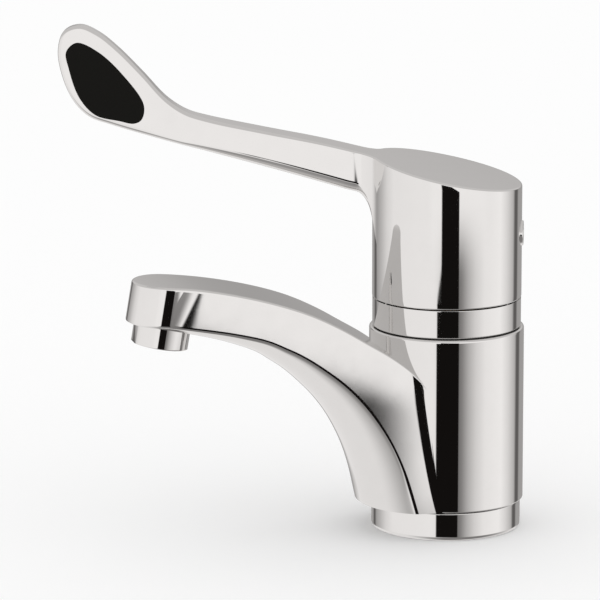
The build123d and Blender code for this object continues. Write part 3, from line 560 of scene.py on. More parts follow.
class SpoutForm:
    """Curves and flat sides that the sections of the spout's arm are read from."""

    def __init__(self, sizes, rings):
        self.sizes = sizes
        self.radius = rings.sleeve_radius
        self.blend = rings.root_blend
        self.fall = math.tan(sizes.side_taper)
        self.draft = math.tan(sizes.side_draft)
        loss = self.draft - math.tan(sizes.side_draft - sizes.draft_loss)
        self.crown = loss / (2 * sizes.seat_share * SPOUT_RISE)
        self.normal = Vector((self.fall, 1.0)).normalized()
        placing = (self.radius, sizes.reach, SLEEVE_BOTTOM, SPOUT_RISE)
        self.top = smooth_curve(side_run(SPOUT_TOP_SHARES, *placing), TOP_CURVE_STEPS)
        places = side_run([share[:2] for share in SPOUT_BELLY_SHARES], *placing)
        belly = smooth_curve([(*place, *share[2:]) for place, share in zip(places, SPOUT_BELLY_SHARES)],
                             BELLY_CURVE_STEPS)
        self.belly_heights = [(point[0], point[1]) for point in belly]
        self.belly_depths = [(point[0], point[2]) for point in belly]
        self.stations = [point for point in belly if point[0] < sizes.reach - MM]
        self.roof = [(self.top[0][0], SLEEVE_BOTTOM - MM)] + self.top

    def crease(self, station):
        """Crease of a section in the side view, its direction up the side, and its belly's depth."""
        out, up, depth_share, lean_degrees = station
        turn = math.radians(lean_degrees)
        back = Vector((-math.sin(turn), math.cos(turn)))
        depth = 0.0
        for _ in range(CREASE_ROUNDS):
            spot = Vector((out, up)) + back * depth
            depth = depth_share * self.side(spot.x, spot.y)
        return Vector((out, up)) + back * depth, back, depth

    def axis_half(self, up):
        """Half width between the flat sides at a height, where they cross the tap's axis."""
        rise = up - SLEEVE_BOTTOM
        return self.sizes.root_half_width - self.draft * rise + self.crown * rise ** 2

    def side(self, out, up):
        """Half width of the arm's flat side, eased into the nose's own half width."""
        flat = self.axis_half(up) - self.fall * out
        past = flat - self.sizes.half_width
        ease = self.sizes.nose_ease
        if past > ease:
            return flat
        if past < -ease:
            return self.sizes.half_width
        return self.sizes.half_width + (past + ease) ** 2 / (4 * ease)

    def blend_ends(self, up):
        """Centre of the hollow blend at a height, and where it leaves the flat side and meets the sleeve."""
        beside = self.normal.y * self.axis_half(up) + self.blend
        reach = self.radius + self.blend
        along = math.sqrt(max(0.0, reach ** 2 - beside ** 2))
        centre = self.normal * beside + Vector((self.normal.y, -self.normal.x)) * along
        return centre, centre.x - self.blend * self.normal.x, centre.x * self.radius / reach

    def flared(self, spot):
        """Half width with the hollow blend into the sleeve, and just inside the sleeve behind it."""
        out, up = spot
        centre, flat_end, sleeve_end = self.blend_ends(up)
        if out >= flat_end:
            return self.side(out, up)
        if out > sleeve_end:
            return centre.y - math.sqrt(self.blend ** 2 - (centre.x - out) ** 2)
        return math.sqrt(self.radius ** 2 - out ** 2) - ROOT_DEPTH - (sleeve_end - out) ** 2 / self.blend

    def crossing(self, start, end, which):
        """Share of the way from a crease to the top where the blend starts, 1, or ends, 2."""
        low, high = 0.0, 1.0
        for _ in range(HALVINGS):
            middle = (low + high) / 2
            spot = start.lerp(end, middle)
            if spot.x > self.blend_ends(spot.y)[which]:
                low = middle
            else:
                high = middle
        return low

    def roof_above(self, start, way):
        """Where a line from a crease meets the arm's top, or the arm's hidden back inside the sleeve."""
        normal = Vector((-way.y, way.x))
        for first, second in zip(self.roof, self.roof[1:]):
            a = normal.dot(Vector(first) - start)
            b = normal.dot(Vector(second) - start)
            if a * b <= 0 and a != b:
                spot = Vector(first).lerp(Vector(second), a / (a - b))
                if way.dot(spot - start) > 0:
                    return spot
        raise ValueError("a section of the spout misses its top")


def spout_loops(form):
    """Closed sections of the spout's arm from its nose to its root."""
    rows = [nose_row(math.pi / 2 * step / NOSE_STEPS, form) for step in range(NOSE_STEPS + 1)]
    rows.extend(arm_row(station, form) for station in form.stations)
    return [row + [Vector((-point.x, point.y, point.z)) for point in reversed(row[1:-1])] for row in rows]


def nose_row(angle, form):
    """Section of the round nose: half a loop from the belly's middle over the wall to the top's middle."""
    sizes = form.sizes
    normal = Vector((math.sin(angle), math.cos(angle)))
    edge, crease = sizes.top_edge, sizes.belly_edge
    seat_z = SLEEVE_BOTTOM + sizes.seat_share * SPOUT_RISE

    def wall(height, inset=0.0):
        """Point of the nose's wall at a height, drawn in by an inset."""
        middle = sizes.reach + (seat_z - height) * math.tan(sizes.tilt)
        radius = sizes.half_width - inset
        return Vector((normal.x * radius, -middle - normal.y * radius, height))

    def under(spot):
        """Height of the belly at a place in the plan."""
        depth = lookup(form.belly_depths, -spot.y) * sizes.half_width
        full = belly_rise(1 / sizes.belly_overwidth, sizes.belly_power)
        share = spot.x / sizes.half_width / sizes.belly_overwidth
        return lookup(form.belly_heights, -spot.y) + depth * belly_rise(share, sizes.belly_power) / full

    high, low = form.top[-1][1], seat_z
    for _ in range(NOSE_ROUNDS):
        high = lookup(form.top, -wall(high).y)
        low = under(wall(low))
    top_in, low_in = wall(high, edge), wall(low, crease)
    top_in.z = lookup(form.top, -top_in.y)
    low_in.z = under(low_in)
    across = []
    for step in range(BELLY_STEPS):
        spot = Vector((low_in.x * math.sin(math.pi / 2 * step / BELLY_STEPS), low_in.y, 0))
        spot.z = under(spot)
        across.append(spot)
    low_wall, top_wall = wall(low + crease), wall(high - edge)
    return half_loop(across, [low_in, wall(low), low_wall], straight(low_wall, top_wall, SIDE_STEPS),
                     [top_wall, wall(high), top_in])


def arm_row(station, form):
    """Section of the arm at one station of its belly, in a plane that leans back to its top."""
    sizes = form.sizes
    corner, back, depth = form.crease(station)
    width = form.flared(corner)
    toward_nose = (station[0] - form.radius) / (sizes.reach - form.radius)
    power = sizes.root_power + (sizes.belly_power - sizes.root_power) * toward_nose ** 2
    full = belly_rise(1 / sizes.belly_overwidth, power)
    inner = 1 - sizes.belly_edge / width

    def under(share):
        """Point of the belly at a share of the half width."""
        rise = depth * belly_rise(share / sizes.belly_overwidth, power) / full
        return Vector((width * share, -(station[0] + back.x * rise), station[1] + back.y * rise))

    across = [under(inner * math.sin(math.pi / 2 * step / BELLY_STEPS)) for step in range(BELLY_STEPS)]
    top = form.roof_above(corner, back)
    way = (top - corner).normalized()

    def beside(spot):
        """Point of the side at a place in the side view."""
        return Vector((form.flared(spot), -spot.x, spot.y))

    low_wall = corner + way * sizes.belly_edge
    top_wall = top - way * sizes.top_edge
    top_corner = beside(top)
    top_in = top_corner - Vector((sizes.top_edge, 0, 0))
    blend_start, blend_end = (low_wall.lerp(top_wall, form.crossing(low_wall, top_wall, which))
                              for which in (1, 2))
    side = [beside(spot) for spot in straight(low_wall, blend_start, FLAT_STEPS)]
    side.extend(beside(blend_start.lerp(blend_end, step / BLEND_STEPS)) for step in range(BLEND_STEPS))
    hidden = SIDE_STEPS - FLAT_STEPS - BLEND_STEPS
    side.extend(beside(blend_end.lerp(top_wall, step / hidden)) for step in range(hidden))
    return half_loop(across, [under(inner), beside(corner), beside(low_wall)], side,
                     [beside(top_wall), top_corner, top_in])


def half_loop(across, crease, side, top_edge):
    """Half section: belly, rounded crease, side, rounded top edge and top."""
    top_in = top_edge[-1]
    middle = Vector((0, top_in.y, top_in.z))
    return [*across, *bend(*crease, CREASE_STEPS), *side, *bend(*top_edge, TOP_EDGE_STEPS),
            *straight(top_in, middle, TOP_STEPS), middle]


def straight(start, end, count):
    """Points between two points, the first and last of them close to the ends."""
    span = 1 - 2 * END_SHARE
    return [start.lerp(end, END_SHARE + span * step / (count - 1)) for step in range(count)]


class TAP_OT_spout(bpy.types.Operator):
    """Sleeve and curved arm of the spout"""
    bl_idname = "tap.spout"
    bl_label = "Spout"

    def execute(self, context):
        rings = context.scene.tap_rings
        sizes = context.scene.tap_spout
        bore = rings.sleeve_radius - rings.sleeve_wall
        corners = [
            (rings.sleeve_radius, SLEEVE_BOTTOM, rings.ring_edge),
            (rings.sleeve_radius, SLEEVE_TOP, rings.sleeve_edge),
            (bore, SLEEVE_TOP, BORE_EDGE), (bore, SLEEVE_BOTTOM, BORE_EDGE),
        ]
        sleeve = turned(corners, "sleeve", SLEEVE_STEPS)
        arm = skin(spout_loops(SpoutForm(sizes, rings)), "arm")
        piece = joined([sleeve, arm], "swivel_spout")
        piece.data.transform(REST_TURN)
        finished(piece, "polished_chrome_plate", "spout", "chrome", "spout")
        return {"FINISHED"}


# How far the aerator's ring goes up into its seat, and the step inside its mouth
AERATOR_TUCK = 1.5 * MM
MOUTH_STEP = 0.8 * MM


class TAP_OT_aerator(bpy.types.Operator):
    """Aerator's ring with its spanner flats"""
    bl_idname = "tap.aerator"
    bl_label = "Aerator ring"

    def execute(self, context):
        sizes = context.scene.tap_spout
        bottom = -sizes.aerator_drop
        mouth = bottom + MOUTH_STEP
        bore = sizes.aerator_bore + MOUTH_STEP
        corners = [
            (sizes.aerator_radius, bottom, SOFT_EDGE), (sizes.aerator_radius, AERATOR_TUCK, FINE_EDGE),
            (bore, AERATOR_TUCK, FINE_EDGE), (bore, mouth, FINE_EDGE),
            (sizes.aerator_bore, mouth, FINE_EDGE), (sizes.aerator_bore, bottom, SOFT_EDGE),
        ]
        piece = turned(corners, "aerator_ring")
        flat_top = bottom + sizes.flat_height
        for vertex in piece.data.vertices:
            x, y, z = vertex.co
            if z < flat_top and math.hypot(x, y) > sizes.aerator_flat:
                vertex.co.y = max(-sizes.aerator_flat, min(sizes.aerator_flat, y))
        piece.data.transform(aerator_place(sizes))
        finished(piece, "polished_chrome_plate", "spout", "chrome", "aerator_housing")
        return {"FINISHED"}


# Lever

# Points across the lever's top, round its rims and down its walls
CAP_STEPS = 8
WALL_STEPS = 16
UNDER_EDGE_STEPS = 6
ACROSS_STEPS = 8
# Rows round the hood, its blend and its front below the arm, and along the arm
HOOD_STEPS = 72
BLEND_TURN_STEPS = 12
FRONT_STEPS = 8
FRONT_WALL_STEPS = 12
ARM_STEPS = 110
# Share of the arm's length over which its rims grow to the paddle's
RIM_GROWTH = 0.6


def lever_outline(sizes, widths):
    """Plan of the hood and its blend on the right: points and their outward directions."""
    centre_x = lookup(widths, HOOD_RADIUS + sizes.blend) + sizes.blend
    centre_out = math.sqrt((HOOD_RADIUS + sizes.blend) ** 2 - centre_x ** 2)
    join = math.atan2(centre_x, centre_out)
    points = []
    for step in range(HOOD_STEPS + 1):
        angle = math.pi + (join - math.pi) * step / HOOD_STEPS
        normal = Vector((math.sin(angle), math.cos(angle)))
        points.append((normal * HOOD_RADIUS, normal))
    for step in range(1, BLEND_TURN_STEPS + 1):
        angle = join + (math.pi / 2 - join) * step / BLEND_TURN_STEPS
        normal = Vector((math.sin(angle), math.cos(angle)))
        points.append((Vector((centre_x, centre_out)) - normal * sizes.blend, normal))
    return points


def lever_runs(sizes):
    """Lever's top and underside from the side, half widths, plan round the hood, and places along the arm."""
    side = lever_side()
    tip = max(range(len(side)), key=lambda place: side[place][0])
    widths = smooth_curve(side_run(LEVER_WIDTH_SHARES, HOOD_RADIUS, LEVER_REACH, sizes.paddle_half_width,
                                   sizes.arm_half_width - sizes.paddle_half_width), TOP_CURVE_STEPS)
    outline = lever_outline(sizes, widths)
    start, end = outline[-1][0].y, side[tip][0]
    turns = [math.pi / 2 * step / ARM_STEPS for step in range(1, ARM_STEPS + 1)]
    stations = [start + (end - start) * math.sin(turn) for turn in turns]
    return side[:tip + 1], side[tip:][::-1], widths, outline, stations


def lever_edge(out, sizes, way=1):
    """Rounding of the lever's rim at a place along it, on top or, for a way of -1, underneath."""
    share = min(1.0, max(0.0, (out - HOOD_RADIUS) / (RIM_GROWTH * (LEVER_REACH - HOOD_RADIUS))))
    start = sizes.hood_edge if way > 0 else sizes.under_edge
    return start + (sizes.paddle_edge - start) * (share if way > 0 else share ** 3)


def point_at(run, out):
    """Point of a run at a distance out, and the direction of the run there."""
    for first, second in zip(run, run[1:]):
        if first[0] <= out <= second[0]:
            break
    along = Vector(second) - Vector(first)
    share = min(1.0, (out - first[0]) / along.x) if along.x > 0 else 0.0
    return Vector(first) + along * share, along.normalized()


def edge_points(point, normal, edge, run):
    """Inner end and corner of a rounding in the plan, at a run's height."""
    inner = point - normal * edge
    return [Vector((spot.x, -spot.y, lookup(run, spot.y))) for spot in (inner, point)]


def cap(inner, corner, wall):
    """Half row over the lever's top and round its rim, from the middle out."""
    middle = Vector((0, inner.y, inner.z))
    return [middle] + straight(middle, inner, CAP_STEPS) + bend(inner, corner, wall, CAP_STEPS)


def rim(out, run, way, widths, sizes, last):
    """Corner, inner and wall points of the rim at a station, on the top run or the bottom one."""
    edge = lever_edge(out, sizes, way)
    point, along = point_at(run, out)
    if last:
        along = Vector((0, 1 if way < 0 else -1))
        inward = Vector((-1, 0))
    else:
        inward = Vector((along.y, -along.x)) * way
    wall_point = point + inward * edge
    half = lookup(widths, point.x)
    corner = Vector((half, -point.x, point.y))
    inner = Vector((half - edge, -point.x, point.y))
    wall = Vector((lookup(widths, wall_point.x), -wall_point.x, wall_point.y))
    return corner, inner, wall


class TAP_OT_lever(bpy.types.Operator):
    """Hood, arm and paddle in one casting"""
    bl_idname = "tap.lever"
    bl_label = "Lever"

    def execute(self, context):
        sizes = context.scene.tap_lever
        top, bottom, widths, outline, stations = lever_runs(sizes)
        mesh = bmesh.new()
        rows, low_rows = [], []
        for place, (point, normal) in enumerate(outline):
            inner, corner = edge_points(point, normal, sizes.hood_edge, top)
            wall = corner - Vector((0, 0, sizes.hood_edge))
            foot = Vector((point.x, -point.y, HOOD_BOTTOM + sizes.rim_edge))
            if place >= HOOD_STEPS:
                edge = sizes.under_edge * (place - HOOD_STEPS) / BLEND_TURN_STEPS
                low_inner, low_corner = edge_points(point, normal, edge, bottom)
                foot.z = low_corner.z + edge
                low_rows.append((foot, low_corner, low_inner))
            rows.append([*cap(inner, corner, wall), *straight(wall, foot, WALL_STEPS), foot])
        arm_rows = []
        for out in stations:
            last = out == stations[-1]
            corner, inner, wall = rim(out, top, 1, widths, sizes, last)
            low_corner, low_inner, low_wall = rim(out, bottom, -1, widths, sizes, last)
            between = straight(wall, low_wall, WALL_STEPS)
            for spot in between:
                spot.x = lookup(widths, -spot.y)
            rows.append([*cap(inner, corner, wall), *between, low_wall])
            arm_rows.append((low_wall, low_corner, low_inner))
        add_grid(mesh, rows)
        add_grid(mesh, [bend(*row, UNDER_EDGE_STEPS) for row in low_rows + arm_rows])
        self.underside(mesh, [row[2] for row in low_rows], [row[2] for row in arm_rows], bottom)
        self.hood_front(mesh, outline[HOOD_STEPS][0], bottom, sizes)
        add_grid(mesh, [self.foot_row(normal, sizes) for _, normal in outline[:HOOD_STEPS + 1]])
        mirror_half(mesh)
        self.hollow(mesh, top, sizes)
        piece = closed_piece(mesh, "elbow_lever")
        finished(piece, "polished_chrome_plate", "handle", "chrome", "lever_handle")
        return {"FINISHED"}

    def underside(self, mesh, inner, arm_inner, bottom):
        """Arm's underside: a patch from the hood's wall to the blend's end, then straight rows."""
        plans = [Vector((spot.x, -spot.y)) for spot in inner]
        start, end = plans[0], plans[-1]
        join = math.atan2(start.x, start.y)
        shares = [place / ACROSS_STEPS for place in range(ACROSS_STEPS + 1)]
        patch = []
        for step, plan in enumerate(plans):
            share = step / (len(plans) - 1)
            shift = plan - start.lerp(end, share)
            row = []
            for across in shares:
                on_hood = Vector((math.sin(join * across), math.cos(join * across))) * HOOD_RADIUS
                spot = on_hood.lerp(Vector((end.x * across, end.y)), share) + shift * across
                row.append(Vector((spot.x, -spot.y, lookup(bottom, spot.y))))
            patch.append(row)
        for spot in arm_inner:
            patch.append([Vector((spot.x * across, spot.y, spot.z)) for across in shares])
        add_grid(mesh, patch)

    def hood_front(self, mesh, join_point, bottom, sizes):
        """Hood's wall and foot below the arm."""
        join = math.atan2(join_point.x, join_point.y)
        walls, feet = [], []
        for angle in (join * step / FRONT_STEPS for step in range(FRONT_STEPS + 1)):
            normal = Vector((math.sin(angle), math.cos(angle)))
            x, out = normal * HOOD_RADIUS
            low = Vector((x, -out, HOOD_BOTTOM + sizes.rim_edge))
            high = Vector((x, -out, lookup(bottom, out)))
            walls.append([low, *straight(low, high, FRONT_WALL_STEPS), high])
            feet.append(self.foot_row(normal, sizes))
        add_grid(mesh, walls)
        add_grid(mesh, feet)

    def foot_row(self, normal, sizes):
        """Section of the hood's foot: rounded outside, flat underneath."""
        edge = sizes.rim_edge
        spots = bend(Vector((HOOD_RADIUS, HOOD_BOTTOM + edge)), Vector((HOOD_RADIUS, HOOD_BOTTOM)),
                     Vector((HOOD_RADIUS - edge, HOOD_BOTTOM)), EDGE_STEPS)
        for radius in (HOOD_RADIUS - edge - FINE_EDGE, HOOD_RADIUS - sizes.lip_wall):
            spots.append(Vector((radius, HOOD_BOTTOM)))
        return [Vector((normal.x * spot.x, -normal.y * spot.x, spot.y)) for spot in spots]

    def hollow(self, mesh, top, sizes):
        """Hollow of the hood with the boss in its middle, drawn up from the inner edge of its foot."""
        bmesh.ops.remove_doubles(mesh, verts=mesh.verts, dist=MERGE)
        edges = [edge for edge in mesh.edges
                 if edge.is_boundary and all(abs(end.co.z - HOOD_BOTTOM) < MERGE for end in edge.verts)]
        lip = HOOD_RADIUS - sizes.lip_wall
        bore = HOOD_RADIUS - sizes.hood_wall
        shoulder = HOOD_BOTTOM + sizes.lip_height
        boss_foot = bottom_of("stem_bush")
        # A height of None follows the hood's sloping top
        profile = [(lip, shoulder), (bore, shoulder), (bore, None), (sizes.boss_radius, None),
                   (sizes.boss_radius, boss_foot), (0.0, boss_foot)]
        for radius, height in profile:
            drawn = bmesh.ops.extrude_edge_only(mesh, edges=edges)["geom"]
            edges = [item for item in drawn if isinstance(item, bmesh.types.BMEdge) and item.is_boundary]
            for vertex in {end for edge in edges for end in edge.verts}:
                way = Vector((vertex.co.x, vertex.co.y)).normalized()
                level = height if height is not None else lookup(top, -radius * way.y) - sizes.ceiling
                vertex.co = (radius * way.x, radius * way.y, level)


# Points between two of the pad's shares, round its edge and from there to its middle
PAD_STEPS = 14
PAD_EDGE_STEPS = 5
PAD_FACE_SHARES = (0.3, 0.65, 1.0)


class TAP_OT_grip_pad(bpy.types.Operator):
    """Dark grip pad let into the paddle"""
    bl_idname = "tap.grip_pad"
    bl_label = "Grip pad"

    def execute(self, context):
        sizes = context.scene.tap_lever
        points = side_run(PAD_SHARES, HOOD_RADIUS, LEVER_REACH, HOOD_BOTTOM, LEVER_RISE)
        loop = smooth_curve([points[-1], *points, *points[:2]], PAD_STEPS)[PAD_STEPS:-PAD_STEPS]
        middle = sum((Vector(spot) for spot in loop), Vector((0, 0))) / len(loop)
        face = sizes.paddle_half_width + sizes.pad_proud
        edge = sizes.pad_edge
        corner = bend(Vector((0, face - edge)), Vector((0, face)), Vector((edge, face)), PAD_EDGE_STEPS)
        rows = []
        for rim_spot in (Vector(spot) for spot in loop):
            inward = (middle - rim_spot).normalized()
            last = rim_spot + inward * 2 * edge
            row = [(rim_spot + inward * inset, x) for inset, x in [(0, 0), *corner, (2 * edge, face)]]
            row.extend((last.lerp(middle, share), face) for share in PAD_FACE_SHARES)
            rows.append([Vector((x, -spot.x, spot.y)) for spot, x in row])
        mesh = bmesh.new()
        add_grid(mesh, rows)
        mirror_half(mesh)
        piece = closed_piece(mesh, "grip_pad_insert")
        finished(piece, "matt_elastomer_grip", "handle", "grip_black", "grip_pad")
        return {"FINISHED"}


# Plug's hidden centre, and its dimple: shares of its radius at the rim and floor, and its depth
PLUG_CENTRE = 0.02 * MM
PLUG_EDGE = 0.45 * MM
DIMPLE_RIM_SHARE = 0.62
DIMPLE_FLOOR_SHARE = 0.55
DIMPLE_DEPTH = 0.25 * MM
PLUG_STEPS = 72


class TAP_OT_screw_plug(bpy.types.Operator):
    """Plug over the lever's fixing screw"""
    bl_idname = "tap.screw_plug"
    bl_label = "Screw plug"

    def execute(self, context):
        low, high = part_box("screw_cover")
        radius, depth = (high[0] - low[0]) / 2, high[1] - low[1]
        floor = depth - DIMPLE_DEPTH
        corners = [
            (PLUG_CENTRE, 0.0, 0.0), (radius, 0.0, FINE_EDGE), (radius, depth, PLUG_EDGE),
            (radius * DIMPLE_RIM_SHARE, depth, FINE_EDGE), (radius * DIMPLE_FLOOR_SHARE, floor, FINE_EDGE),
            (PLUG_CENTRE, floor, 0.0),
        ]
        place = Matrix.Translation((0, low[1], (low[2] + high[2]) / 2)) @ Matrix.Rotation(-math.pi / 2, 4, "X")
        piece = turned(corners, "screw_plug", PLUG_STEPS, place)
        finished(piece, "polished_chrome_plate", "handle", "chrome", "screw_cover")
        return {"FINISHED"}


# Screen of the aerator, repeated by Geometry Nodes

ROW_RISE = math.sqrt(3) / 2
SCREEN_WIRE = 0.12 * MM
SCREEN_HEIGHT = 0.6 * MM
# How far the screen goes past the mouth's edge, and up from it
SCREEN_OVERLAP = 0.7 * MM
SCREEN_SETBACK = 1.15 * MM
# Sums of the tree, one after the other: name, operation and two values or names of sums and inputs
SCREEN_SUMS = (
    ("across", "MULTIPLY", "radius", 2.2), ("cells", "DIVIDE", "across", "pitch"),
    ("count", "CEIL", "cells", 0.0), ("corners", "ADD", "count", 1.0),
    ("width", "MULTIPLY", "pitch", "count"), ("depth", "MULTIPLY", "width", ROW_RISE),
    ("row_rise", "MULTIPLY", "pitch", ROW_RISE), ("rows_up", "DIVIDE", "up", "row_rise"),
    ("row", "ROUND", "rows_up", 0.0), ("odd_row", "PINGPONG", "row", 1.0),
    ("half_pitch", "MULTIPLY", "pitch", 0.5), ("shift", "MULTIPLY", "odd_row", "half_pitch"),
    ("margin", "MULTIPLY", "pitch", 0.6), ("limit", "SUBTRACT", "radius", "margin"),
    ("cell_radius", "DIVIDE", "pitch", math.sqrt(3)),
)


def screen_tree():
    """Node tree: hexagonal cells on a triangular grid inside a disc, with a material on the result."""
    tree = bpy.data.node_groups.new("aerator_screen_cells", "GeometryNodeTree")
    tree.interface.new_socket("Geometry", in_out="OUTPUT", socket_type="NodeSocketGeometry")
    for name in ("Pitch", "Radius", "Wire", "Height"):
        tree.interface.new_socket(name, in_out="INPUT", socket_type="NodeSocketFloat")
    tree.interface.new_socket("Material", in_out="INPUT", socket_type="NodeSocketMaterial")
    put = partial(add_node, tree)
    given = put("NodeGroupInput")
    place = put("GeometryNodeInputPosition")["Position"]
    sums = {"pitch": given["Pitch"], "radius": given["Radius"],
            "up": put("ShaderNodeSeparateXYZ", {"Vector": place})["Y"]}
    for name, operation, first, second in SCREEN_SUMS:
        pair = {0: sums.get(first, first), 1: sums.get(second, second)}
        sums[name] = put("ShaderNodeMath", pair, operation=operation)["Value"]
    grid = put("GeometryNodeMeshGrid", {"Size X": sums["width"], "Size Y": sums["depth"],
                                        "Vertices X": sums["corners"], "Vertices Y": sums["corners"]})["Mesh"]
    shift = put("ShaderNodeCombineXYZ", {"X": sums["shift"]})["Vector"]
    moved = put("GeometryNodeSetPosition", {"Geometry": grid, "Offset": shift})["Geometry"]
    far = put("ShaderNodeVectorMath", {0: place}, operation="LENGTH")["Value"]
    outside = put("FunctionNodeCompare", {"A": far, "B": sums["limit"]}, data_type="FLOAT",
                  operation="GREATER_THAN")["Result"]
    kept = put("GeometryNodeDeleteGeometry", {"Geometry": moved, "Selection": outside},
               domain="POINT")["Geometry"]
    hexagon = put("GeometryNodeCurvePrimitiveCircle", {"Resolution": 6, "Radius": sums["cell_radius"]})["Curve"]
    upright = put("GeometryNodeTransform", {"Geometry": hexagon, "Rotation": (0, 0, math.pi / 6)})["Geometry"]
    bar = put("GeometryNodeCurvePrimitiveQuadrilateral",
              {"Width": given["Wire"], "Height": given["Height"]})["Curve"]
    cell = put("GeometryNodeCurveToMesh", {"Curve": upright, "Profile Curve": bar})["Mesh"]
    cells = put("GeometryNodeInstanceOnPoints", {"Points": kept, "Instance": cell})["Instances"]
    solid = put("GeometryNodeRealizeInstances", {"Geometry": cells})["Geometry"]
    painted = put("GeometryNodeSetMaterial", {"Geometry": solid, "Material": given["Material"]})["Geometry"]
    put("NodeGroupOutput", {"Geometry": painted})
    return tree


class TAP_OT_screen(bpy.types.Operator):
    """Honeycomb screen in the aerator's mouth"""
    bl_idname = "tap.screen"
    bl_label = "Aerator screen"

    def execute(self, context):
        sizes = context.scene.tap_spout
        holder = as_object(bmesh.new(), "screen_holder", smooth=False)
        modifier = holder.modifiers.new("cells", "NODES")
        modifier.node_group = screen_tree()
        values = {"Pitch": sizes.mesh_pitch, "Radius": sizes.aerator_bore + SCREEN_OVERLAP,
                  "Wire": SCREEN_WIRE, "Height": SCREEN_HEIGHT, "Material": material_of("ground_steel")}
        for item in modifier.node_group.interface.items_tree:
            if item.in_out == "INPUT":
                modifier[item.identifier] = values[item.name]
        context.view_layer.update()
        data = bpy.data.meshes.new_from_object(holder.evaluated_get(context.evaluated_depsgraph_get()))
        bpy.data.objects.remove(holder)
        up = Matrix.Translation((0, 0, SCREEN_SETBACK - sizes.aerator_drop))
        data.transform(aerator_place(sizes) @ up)
        piece = bpy.data.objects.new("honeycomb_screen", data)
        context.scene.collection.objects.link(piece)
        finished(piece, "ground_steel", "spout", "steel", "aerator_screen")
        return {"FINISHED"}


class TAP_OT_inner_parts(bpy.types.Operator):
    """Materials of the pieces that stay as they are"""
    bl_idname = "tap.inner_parts"
    bl_label = "Inner parts"

    def execute(self, context):
        for finish, nodes in FINISH_NODES.items():
            for node in nodes:
                materials = frame["nodes"][node].data.materials
                materials.clear()
                materials.append(material_of(finish))
        return {"FINISHED"}


# Stage

class TapStage(bpy.types.PropertyGroup):
    """Camera, floor and the studio that the chrome reflects."""
    lens: number_property("Lens", "Focal length in millimetres", 323.2)
    studio_radius: length_property("Studio radius", "Distance of the lamps' and cards' wall", 1500.0)


CAMERA_PLACE = Vector((1.7572, 0.0968, 0.4581))
CAMERA_TARGET = Vector((0.00406, -0.04884, 0.07678))
# Grey of the studio's wall by its direction in degrees, to the camera's right
STUDIO_GREYS = (
    (-180, 150), (-152, 150), (-147, 90), (-141, 90), (-136, 150), (-120, 180), (-105, 210), (-90, 224),
    (-20, 228), (-12, 222), (15, 90), (24, 130), (33, 172), (45, 205), (60, 226), (90, 234), (105, 212),
    (122, 174), (128, 90), (136, 90), (141, 150), (180, 150),
)
# Sums of the wall's places, one after the other: name, operation and two values or names
STUDIO_SUMS = (
    ("radians", "ARCTAN2", "y", "x"), ("turn", "DEGREES", "radians", 0.0),
    ("past_left", "SUBTRACT", "turn", "card_left"), ("card_slope", "MULTIPLY", "turn", -0.0067),
    ("card_top", "ADD", "card_slope", -0.018), ("below_top", "SUBTRACT", "card_top", "height"),
)
# Patches over the wall's greys: each a grey inside soft edges, from where it starts to where it is full
STUDIO_PATCHES = (
    # White above the card and to its right, up to where the softbox ends
    (232, (("turn", -30.0, -20.0), ("turn", 75.0, 55.0), ("height", -0.225, -0.175))),
    # Black card: its left edge leans, its right edge is upright, its top slopes down to the right
    (16, (("past_left", -1.0, 1.0), ("turn", 19.2, 17.8), ("below_top", -0.006, 0.006),
          ("height", -0.50, -0.44))),
    # Ceiling
    (190, (("height", 0.2, 0.6),)),
)
# Ground: dark in front of the camera, light to its left
GROUND_GREY = 218
GROUND_PATCHES = ((118, (("turn", -75.0, 0.0), ("turn", 150.0, 60.0))),)
GROUND_EDGE = ("height", -0.44, -0.60)
# Left edge of the card: its direction in degrees between two heights
CARD_LEAN = {"From Min": -0.242, "From Max": -0.215, "To Min": -14.5, "To Max": -8.0}
# What red, green and blue add to a grey
GREY_TINT = (1, -1, -2)
STUDIO_LOW = -1.4
STUDIO_HIGH = 2.2
STUDIO_STEPS = 96
STUDIO_STRENGTH = 1.25
FLOOR_HALF = 12.0
FLOOR_DROP = 0.02 * MM
SENSOR_WIDTH = 36.0
CLIP_END = 100.0


def studio_grey(grey):
    """Linear colour of a grey of the studio, a little warm."""
    return linear("#" + "".join(f"{grey + tint:02x}" for tint in GREY_TINT))


